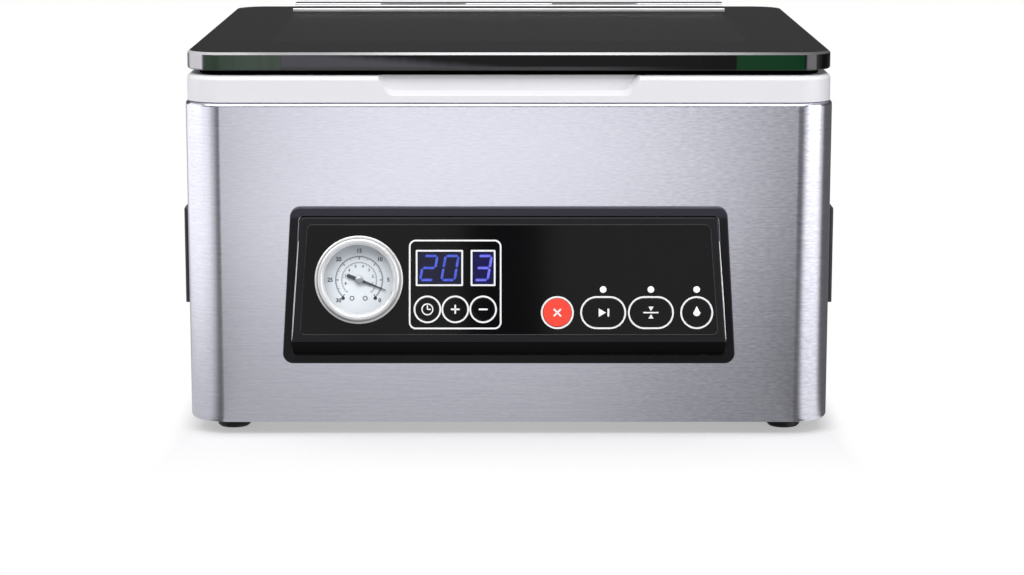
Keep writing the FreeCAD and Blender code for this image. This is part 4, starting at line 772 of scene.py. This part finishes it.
# Windows: two seven-bar number modules behind dark filters, showing a vacuum time and a seal time.
# The bars glow blue, and the smaller window lets more of their light through.
def window_filter(name, dim, pale, lit):
    """Dark filter with faint light behind it, cloudy between two colours."""
    finish, shader, place = start_finish(name, dim, 0.16, Emission_Color=(*lit, 1.0),
                                         Emission_Strength=1.0)
    glow = grain(place, 220.0)
    tint(glow + 0.5, shader, dim, pale)
    roughen(glow * 0.08 + 0.16, shader)
    return finish


grey_filter = window_filter("grey_filter", (0.006, 0.005, 0.008), (0.014, 0.012, 0.020),
                            (0.003, 0.005, 0.022))
blue_filter = window_filter("blue_filter", (0.004, 0.003, 0.020), (0.008, 0.006, 0.035),
                            (0.002, 0.002, 0.045))
dress("display_two_digit", grey_filter, "display_blue")
dress("display_one_digit", blue_filter, "display_blue")


def lit_bars(name, dim, pale):
    """Glowing bars, cloudy between two colours."""
    finish, shader, place = start_finish(name, (0.02, 0.03, 0.20), 0.3, Emission_Strength=1.0)
    cloud = ease(grain(place, 420.0, 1.0), -0.3, 0.3)
    between(cloud, dim, pale).feeds(shader.inputs["Emission Color"])
    return finish


deep_bars = lit_bars("deep_bars", (0.030, 0.055, 0.38), (0.085, 0.13, 0.62))
pale_bars = lit_bars("pale_bars", (0.105, 0.105, 0.58), (0.20, 0.20, 0.84))

bars_lit = {"2": "abged", "0": "abcdef", "3": "abgcd"}
digit_width = 0.0076
digit_height = 0.0140
digit_bar = 0.00145
digit_slant = 0.17
bar_gap = 0.0003
upright_gap = 0.0002
digit_apart = 0.0062


def lit_digit(figure, middle):
    """Outlines of a figure's lit bars: six-cornered bars on a tall eight, sheared to the right."""
    half = 0.5 * np.array([digit_width, digit_height])
    reach = half[0] - bar_gap
    level_bar = np.array([[-1.0, 0.0], [-0.78, 0.5], [0.78, 0.5],
                          [1.0, 0.0], [0.78, -0.5], [-0.78, -0.5]]) * [reach, digit_bar]
    upright_bar = level_bar[:, ::-1] * [1.0, (0.5 * half[1] - upright_gap) / reach]
    middles = {"a": (0.0, half[1]), "g": (0.0, 0.0), "d": (0.0, -half[1]),
               "f": (-half[0], 0.5 * half[1]), "b": (half[0], 0.5 * half[1]),
               "e": (-half[0], -0.5 * half[1]), "c": (half[0], -0.5 * half[1])}
    shear = np.array([[1.0, 0.0], [digit_slant, 1.0]])
    outlines = [(level_bar if name in "agd" else upright_bar) + middles[name]
                for name in bars_lit[figure]]
    return [outline @ shear + middle for outline in outlines]


two_digit_bars = lit_digit("2", (-digit_apart, 0.0)) + lit_digit("0", (digit_apart, 0.0))
printed_sign("vacuum_time_figures", two_digit_bars, two_digit_middle,
             level_of("display_two_digit"), "case", ink=deep_bars)
printed_sign("seal_time_figure", lit_digit("3", (0.0, 0.0)), one_digit_middle,
             level_of("display_one_digit"), "case", ink=pale_bars)


# Lamps over three of the keys: small frosted light pipes in clear plastic, pushed through the
# overlay from behind and glowing faintly white.
pure_white = (1.0, 1.0, 1.0, 1.0)
lamp_white, shader, place = start_finish("lamp_white", (0.86, 0.86, 0.88), 0.3,
                                         Emission_Color=pure_white, Emission_Strength=0.25)
frost = grain(place, 900.0)
roughen(frost * 0.15 + 0.3, shader)
dress("indicator_lights", lamp_white, "light_white")


# Vacuum gauge: a white dial with a black scale in a turned and polished ring, under a flat glass.
# A black needle with a bright hub turns over the dial. The dial's faint glow is painted light, and
# the dark band in the ring's groove is painted shade.
dial_painted_glow = (0.90, 0.95, 1.0, 1.0)
# The dial's faint emission is a painted glow that lifts its shade.
dial_white, shader, place = start_finish("dial_white", (0.90, 0.94, 0.98), 0.45,
                                         Emission_Color=dial_painted_glow, Emission_Strength=0.085)
paint = grain(place, 300.0)
tint(paint + 0.5, shader, (0.88, 0.93, 0.97), (0.93, 0.96, 0.99))
roughen(paint * 0.1 + 0.45, shader)
dress("gauge_dial", dial_white, "dial_white")
dial_middle = np.array([-0.0874, 0.0])
ring_low, ring_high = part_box("gauge_ring")
ring_outer = 0.5 * (ring_high.x - ring_low.x)
polished_ring, shader, place = start_finish("polished_ring", (0.92, 0.92, 0.93), 0.26,
                                            Metallic=0.55)


def measured(place, direction):
    """How far along a direction a place lies."""
    return place.node("ShaderNodeVectorMath", {"operation": "DOT_PRODUCT"},
                      {0: place, 1: tuple(direction)}, output="Value")


ring_across = measured(place, panel_across) - dial_middle[0]
ring_up = measured(place, panel_up) - (fascia_middle + dial_middle[1])
from_dial = ring_across.math("SQRT", ring_across * ring_across + ring_up * ring_up, 0.0)
# A band of the ring round its groove is painted dark: painted shade in the groove.
groove_inner, groove_deepest, groove_outer = ring_outer * np.array([0.925, 0.945, 0.965])
groove_painted_shade = hump(from_dial, (groove_inner, groove_deepest), (groove_deepest, groove_outer))
turning = grain(place, 1500.0, 1.0)
ring_metal = between(turning + 0.5, (0.92, 0.92, 0.93), (0.96, 0.96, 0.97))
tint(groove_painted_shade * 0.75, shader, ring_metal, (0.10, 0.10, 0.105))
roughen(turning * 0.04 + 0.26, shader)
dress("gauge_ring", polished_ring, "polished_ring", 26.0)
dress("gauge_case", black_plastic, "black_plastic")
lens_glass, shader, place = start_finish("lens_glass", (0.50, 0.58, 0.72), 0.04, Alpha=0.05)
dust = grain(place, 120.0, 3.0)
roughen(dust * 0.04 + 0.05, shader)
dress("gauge_lens", lens_glass, "clear_glass")
needle_black = moulded("needle_black", (0.004, 0.004, 0.0045), 0.5, 0.0004, 2e-6, 0.2)
dress("gauge_needle", needle_black, "needle_black")

dial_level = level_of("gauge_dial")
scale_zero = math.radians(-45.0)
scale_turn = math.radians(270.0)
scale_steps = 6
scale_marks = scale_steps * 10
inner_marks = 50
scale_radius = 0.0140
inner_radius = 0.0104
ten_mark, five_mark, one_mark = 0.0021, 0.0016, 0.0011
inner_ten_mark, inner_one_mark = 0.0014, 0.0008
wide_line, scale_line, inner_line = 0.00055, 0.00034, 0.00026


def around_dial(radius, angle):
    """Place on the dial at a radius and an angle from its middle."""
    return np.array([radius * math.cos(angle), radius * math.sin(angle)])


marks = []
for mark in range(scale_marks + 1):
    angle = scale_zero + scale_turn * mark / scale_marks
    length = ten_mark if mark % 10 == 0 else five_mark if mark % 5 == 0 else one_mark
    width = wide_line if mark % 10 == 0 else scale_line
    marks.append(bar(length, width, angle, around_dial(scale_radius - 0.5 * length, angle)))
for mark in range(inner_marks + 1):
    angle = scale_zero + scale_turn * mark / inner_marks
    length = inner_ten_mark if mark % 10 == 0 else inner_one_mark
    marks.append(bar(length, inner_line, angle, around_dial(inner_radius - 0.5 * length, angle)))
arc_turn = np.linspace(scale_zero, scale_zero + scale_turn, 60)
arc_line = np.stack([np.cos(arc_turn), np.sin(arc_turn)], axis=-1)
for radius, line in ((scale_radius, 0.00030), (inner_radius, 0.00018)):
    marks.append(np.concatenate([arc_line * radius, arc_line[::-1] * (radius - line)]))
stop_radius = 0.0011
stop_place = 0.0142
marks += [disc(stop_radius, around_dial(stop_place, math.radians(end))) for end in (-48.5, 228.5)]
dial_ink = moulded("dial_ink", (0.006, 0.006, 0.008), 0.6, 0.0005, 2e-6, 0.1)
printed_sign("dial_scale", marks, dial_middle, dial_level, "case", ink=dial_ink)

screw_size = 0.0028
screw_line = 0.0005
screw_up = -0.0107
for name, across in (("dial_screw_left", -0.0042), ("dial_screw_right", 0.0035)):
    printed_outline(name, dial_middle + [across, screw_up], (screw_size, screw_size),
                    0.5 * screw_size, screw_line, "case", dial_level, ink=dial_ink)


def dial_figure(name, figure, height, radius, angle):
    """A number set upright on the dial, at a radius and an angle from its middle."""
    lettering = bpy.data.curves.new(name, "FONT")
    lettering.body = figure
    lettering.size = height
    lettering.offset = 0.03 * height
    lettering.align_x = "CENTER"
    lettering.align_y = "CENTER"
    lettering.extrude = 0.5 * (ink_sunk + ink_proud)
    writer = bpy.data.objects.new(name + "_writer", lettering)
    bpy.context.scene.collection.objects.link(writer)
    written = writer.evaluated_get(bpy.context.evaluated_depsgraph_get())
    mesh = bpy.data.meshes.new_from_object(written)
    bpy.data.objects.remove(writer)
    middle = np.append(dial_middle + around_dial(radius, angle), dial_level + ink_proud)
    places = on_panel(vertices_of(mesh) + middle)
    mesh.vertices.foreach_set("co", places.astype(np.float32).ravel())
    mesh.materials.clear()
    mesh.materials.append(dial_ink)
    put(name, mesh, "case")


figure_height = 0.0032
figure_radius = 0.0170
for step in range(scale_steps + 1):
    angle = scale_zero + scale_turn * step / scale_steps
    dial_figure("dial_figure_" + str(step), str(5 * step), figure_height, figure_radius, angle)
inner_steps = 9
inner_height = 0.0022
inner_figures = 0.0082
for step in range(1, inner_steps):
    angle = scale_zero + scale_turn * step / inner_steps
    dial_figure("inner_figure_" + str(step), str(step), inner_height, inner_figures, angle)

hub_radius = 0.0024
hub_rise = 0.0007
hub_sunk = 1e-4
hub_rows = 8
hub_sides = 36
hub_level = level_of("gauge_needle") - hub_sunk
slope = np.linspace(0.0, 0.5 * math.pi, hub_rows, endpoint=False)[:, None]
round_hub = np.linspace(0.0, 2.0 * math.pi, hub_sides, endpoint=False)
hub_rings = np.stack([np.cos(slope) * np.cos(round_hub) * hub_radius + dial_middle[0],
                      np.cos(slope) * np.sin(round_hub) * hub_radius + dial_middle[1],
                      np.repeat(hub_level + hub_rise * np.sin(slope), hub_sides, axis=1)], axis=-1)
hub_faces = capped_faces(hub_rows, hub_sides)
hub_metal = turned_metal("hub_metal", (0.50, 0.50, 0.51), 0.42, 0.0010)
piece_of("needle_hub_cap", on_panel(hub_rings), hub_faces, hub_metal, "needle",
         True)


# Mains inlet and rocker switch on the rear cover: black moulded socket and frame, with the usual
# bar and ring on the rocker.
dress("power_inlet", black_plastic, "black_plastic")
dress("switch_frame", black_plastic, "black_plastic")
rocker = dress("power_rocker", black_plastic, "red_plastic")
rocker_low, rocker_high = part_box("power_rocker")
rocker_middles = face_trait(rocker, "center")
faces_back = face_trait(rocker, "normal")[:, 1] > 0.9
is_upper = rocker_middles[:, 2] > 0.5 * (rocker_low.z + rocker_high.z)


def on_rocker(half):
    """Lay of one half of the rocker: (across, up, out) from its middle to places in the frame."""
    weight = face_trait(rocker, "area")[:, 0] * (faces_back & half)
    middle = weight @ rocker_middles / weight.sum()
    out = facing(rocker, faces_back & half)
    across = np.array([-1.0, 0.0, 0.0])
    axes = np.stack([across, np.cross(out, across), out])
    return lambda flat: middle + np.asarray(flat, float) @ axes


mark_size = 0.0044
mark_line = 0.0007
printed_sign("rocker_bar", [bar(mark_size, mark_line, upright)], (0.0, 0.0), 0.0, "rocker",
             on_rocker(is_upper))
printed_outline("rocker_ring", (0.0, 0.0), (mark_size, mark_size), 0.5 * mark_size, mark_line,
                "rocker", 0.0, on_rocker(~is_upper))


# Works inside the case: twin pump on its motor, valves, transformer, boards and hoses. Hardly
# anything of them shows, so the solids keep their own meshes and only get a finish.
cast_alloy = turned_metal("cast_alloy", (0.55, 0.55, 0.56), 0.5, 0.0014)
core_iron = turned_metal("core_iron", (0.20, 0.20, 0.21), 0.5, 0.0012)
brass = turned_metal("brass_fitting", (0.72, 0.52, 0.22), 0.3, 0.0010)
pump_paint = moulded("pump_paint", (0.035, 0.037, 0.040), 0.4, 0.0010, 1e-5, 0.15)
circuit_board = moulded("circuit_board", (0.02, 0.12, 0.045), 0.45, 0.0012, 1e-5, 0.2)
silicone_hose = moulded("silicone_hose", (0.62, 0.63, 0.62), 0.4, 0.0020, 1e-5, 0.05)
grey_plastic = moulded("grey_plastic", (0.25, 0.25, 0.26), 0.45, 0.0008, 1e-5, 0.1)
inner_finishes = {
    "pump_motor": pump_paint, "pump_head_left": cast_alloy, "pump_head_right": cast_alloy,
    "pump_fan": grey_plastic, "pump_mounts": black_rubber, "valve_manifold": brass,
    "solenoid_valves": core_iron, "transformer": core_iron, "power_board": circuit_board,
    "display_board": circuit_board, "vacuum_hoses": silicone_hose, "gauge_hose": silicone_hose,
    "chamber_port": brass,
}
for node, finish in inner_finishes.items():
    for material_slot in frame["nodes"][node].material_slots:
        material_slot.material = finish


# Studio: soft boxes above and in front, two dim cards beside the camera that the glossy overlay
# mirrors, a pale floor with painted pools of light on it that only reflections see, and the
# camera's place before the steel front.
def soft_box(name, place, aim, size, brightness):
    """Area light of this even brightness, aimed from its place at a point."""
    lamp = bpy.data.lights.new(name, "AREA")
    lamp.shape = "RECTANGLE"
    lamp.size, lamp.size_y = size
    lamp.energy = brightness * math.pi * size[0] * size[1]
    box = bpy.data.objects.new(name, lamp)
    box.location = place
    box.rotation_euler = (aim - box.location).to_track_quat("-Z", "Y").to_euler()
    box.visible_camera = False
    bpy.context.scene.collection.objects.link(box)


steel_low, steel_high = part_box("steel_wrapper")
object_middle = 0.5 * (steel_low + steel_high)
box_places = {
    "key_box": ((-1.3, -1.7, 2.0), (1.2, 1.2), 6.0),
    "front_box": ((0.2, -1.9, 2.3), (2.0, 1.0), 5.0),
    "right_box": ((2.0, -1.15, 0.7), (1.6, 1.4), 3.0),
    "left_box": ((-2.2, 0.1, 0.8), (2.6, 1.6), 1.1),
    "overhead_box": ((0.0, -0.2, 2.1), (2.4, 1.8), 0.9),
}
for name, (box_place, size, brightness) in box_places.items():
    soft_box(name, box_place, object_middle, size, brightness)

card_distance = 1.64
card_middle_height = 0.52
card_height = 0.45
card_brightness = 0.33
card_ends = {"left_card": (-1.0, -0.052), "right_card": (0.043, 1.0)}
for name, (start, end) in card_ends.items():
    card_place = (0.5 * (start + end), steel_low.y - card_distance, card_middle_height)
    straight_back = object_middle.copy()
    straight_back.x = card_place[0]
    straight_back.z = card_middle_height
    soft_box(name, card_place, straight_back, (end - start, card_height), card_brightness)

half_floor = 30.0
floor_mesh = bpy.data.meshes.new("floor")
floor_corners = [(-half_floor, -half_floor, 0.0), (half_floor, -half_floor, 0.0),
                 (half_floor, half_floor, 0.0), (-half_floor, half_floor, 0.0)]
floor_mesh.from_pydata(floor_corners, [], [(0, 1, 2, 3)])
floor_white = bpy.data.materials.new("floor_white")
floor_white.use_nodes = True
floor_tree = floor_white.node_tree
floor_tree.nodes.remove(floor_tree.nodes["Principled BSDF"])
light_path = floor_tree.nodes.new("ShaderNodeLightPath")
floor_places = Reading(floor_tree.nodes.new("ShaderNodeTexCoord").outputs["Object"])
floor_x = axis_of(floor_places, "X")
floor_y = axis_of(floor_places, "Y")
seen_direct = Reading(light_path.outputs["Is Camera Ray"])
seen_by_eye = seen_direct + Reading(light_path.outputs["Is Transmission Ray"])
seen_in_metal = Reading(light_path.outputs["Is Glossy Ray"])
before = steel_low.y - floor_y
beside_case = floor_x.math("ABSOLUTE", floor_x, 0.0) - steel_high.x
corner_radius = 0.022
eye_distance = 1.6


def from_corner(side):
    """Direction of a place on the floor, in degrees round a front corner: 0 ahead and 90 beside."""
    beside = floor_x * side - (steel_high.x - corner_radius)
    return beside.math("ARCTAN2", beside, before + corner_radius) * (180.0 / math.pi)


def larger(first, second):
    """The larger of two readings, or of a reading and a number."""
    return first.math("MAXIMUM", first, second)


# Painted light on the floor, seen only by glossy rays: a pool ahead of the case, bands round its
# front corners and behind it, and painted shade near the case.
to_left = from_corner(-1.0)
to_right = from_corner(1.0)
fan = floor_x.math("DIVIDE", floor_x, larger(before, 0.0) * (1.0 / eye_distance) + 1.0)
far_floor = ease(before, 0.05, 1.5)
to_right_half = ease(fan, 0.0, 0.1)
pool_shift = 0.06
pool_width = 0.33
off_centre = (fan + pool_shift) * (1.0 / pool_width)
off_centre = off_centre * (to_right_half * (0.5 - far_floor * 0.75) + 1.0)
front_fall = off_centre.math("EXPONENT", 0.0 - off_centre * off_centre, 0.0)
front_light = front_fall * (ease(before, 0.0, 1.1) * 0.62 + 0.38)
front_light = front_light * (1.0 - ease(to_left, 5.0, 10.0)) * (1.0 - ease(to_right, 0.0, 10.0))
near_dim = ease(larger(before, beside_case), 0.0, 0.7)
left_light = hump(to_left, (12.0, 50.0), (138.0, 156.0)) * (near_dim * 0.55 + 0.45)
right_light = hump(to_right, (18.0, 38.0), (74.0, 102.0)) * (near_dim * 0.30 + 0.70)
behind_light = ease(to_left, 140.0, 160.0) * 0.45 + ease(to_right, 158.0, 172.0) * 0.45
side_light = larger(larger(left_light, right_light), behind_light)
floor_light = larger(front_light, side_light)

shadow_beside = 0.014
shadow_before = 0.11
shadow_behind = 0.035
clear_beside = ease(beside_case, 0.0, shadow_beside)
clear_before = ease(before, 0.0, shadow_before)
clear_behind = ease(floor_y - steel_high.y, 0.0, shadow_behind)
open_floor = larger(larger(clear_before, clear_beside), clear_behind) * 0.61 + 0.39


def blend(amount, first, second):
    """Surface between two surfaces, by an amount from 0 to 1."""
    return amount.node("ShaderNodeMixShader", {}, {0: amount, 1: first, 2: second})


matt = floor_x.node("ShaderNodeBsdfDiffuse", {}, {"Color": (0.72, 0.72, 0.73, 1.0)})
dull = floor_x.node("ShaderNodeBsdfDiffuse", {}, {"Color": (0.36, 0.36, 0.37, 1.0)})
bright = floor_x.node("ShaderNodeEmission", {}, {"Color": pure_white, "Strength": 1.0})
pool_light = floor_light * 1.03 + 0.12
mirrored = floor_x.node("ShaderNodeEmission", {}, {"Color": pure_white, "Strength": pool_light})
to_eye = blend(open_floor, matt, bright)
to_rest = blend(seen_in_metal, dull, mirrored)
surface = blend(seen_by_eye, to_rest, to_eye)
surface.feeds(floor_tree.nodes["Material Output"].inputs["Surface"])
floor_mesh.materials.append(floor_white)
floor = bpy.data.objects.new("floor", floor_mesh)
bpy.context.scene.collection.objects.link(floor)

world = bpy.data.worlds.new("studio")
world.use_nodes = True
bpy.context.scene.world = world
world_tree = world.node_tree
world_shader = world_tree.nodes["Background"]
world_shader.inputs["Color"].default_value = pure_white
world_places = Reading(world_tree.nodes.new("ShaderNodeTexCoord").outputs["Generated"])
sky = ease(axis_of(world_places, "Z"), 0.22, 0.95)
(sky * 0.45 + 0.066).feeds(world_shader.inputs["Strength"])

eye_height = 0.3831
eye_tilt = math.radians(79.6)
eye = bpy.data.cameras.new("eye")
eye.lens = 97.35
eye.sensor_width = 36.0
eye.shift_x = 0.0031
camera = bpy.data.objects.new("camera", eye)
camera.location = (0.0, steel_low.y - eye_distance, eye_height)
camera.rotation_euler = (eye_tilt, 0.0, 0.0)
bpy.context.scene.collection.objects.link(camera)
bpy.context.scene.camera = camera
bpy.context.scene.view_settings.view_transform = "Standard"
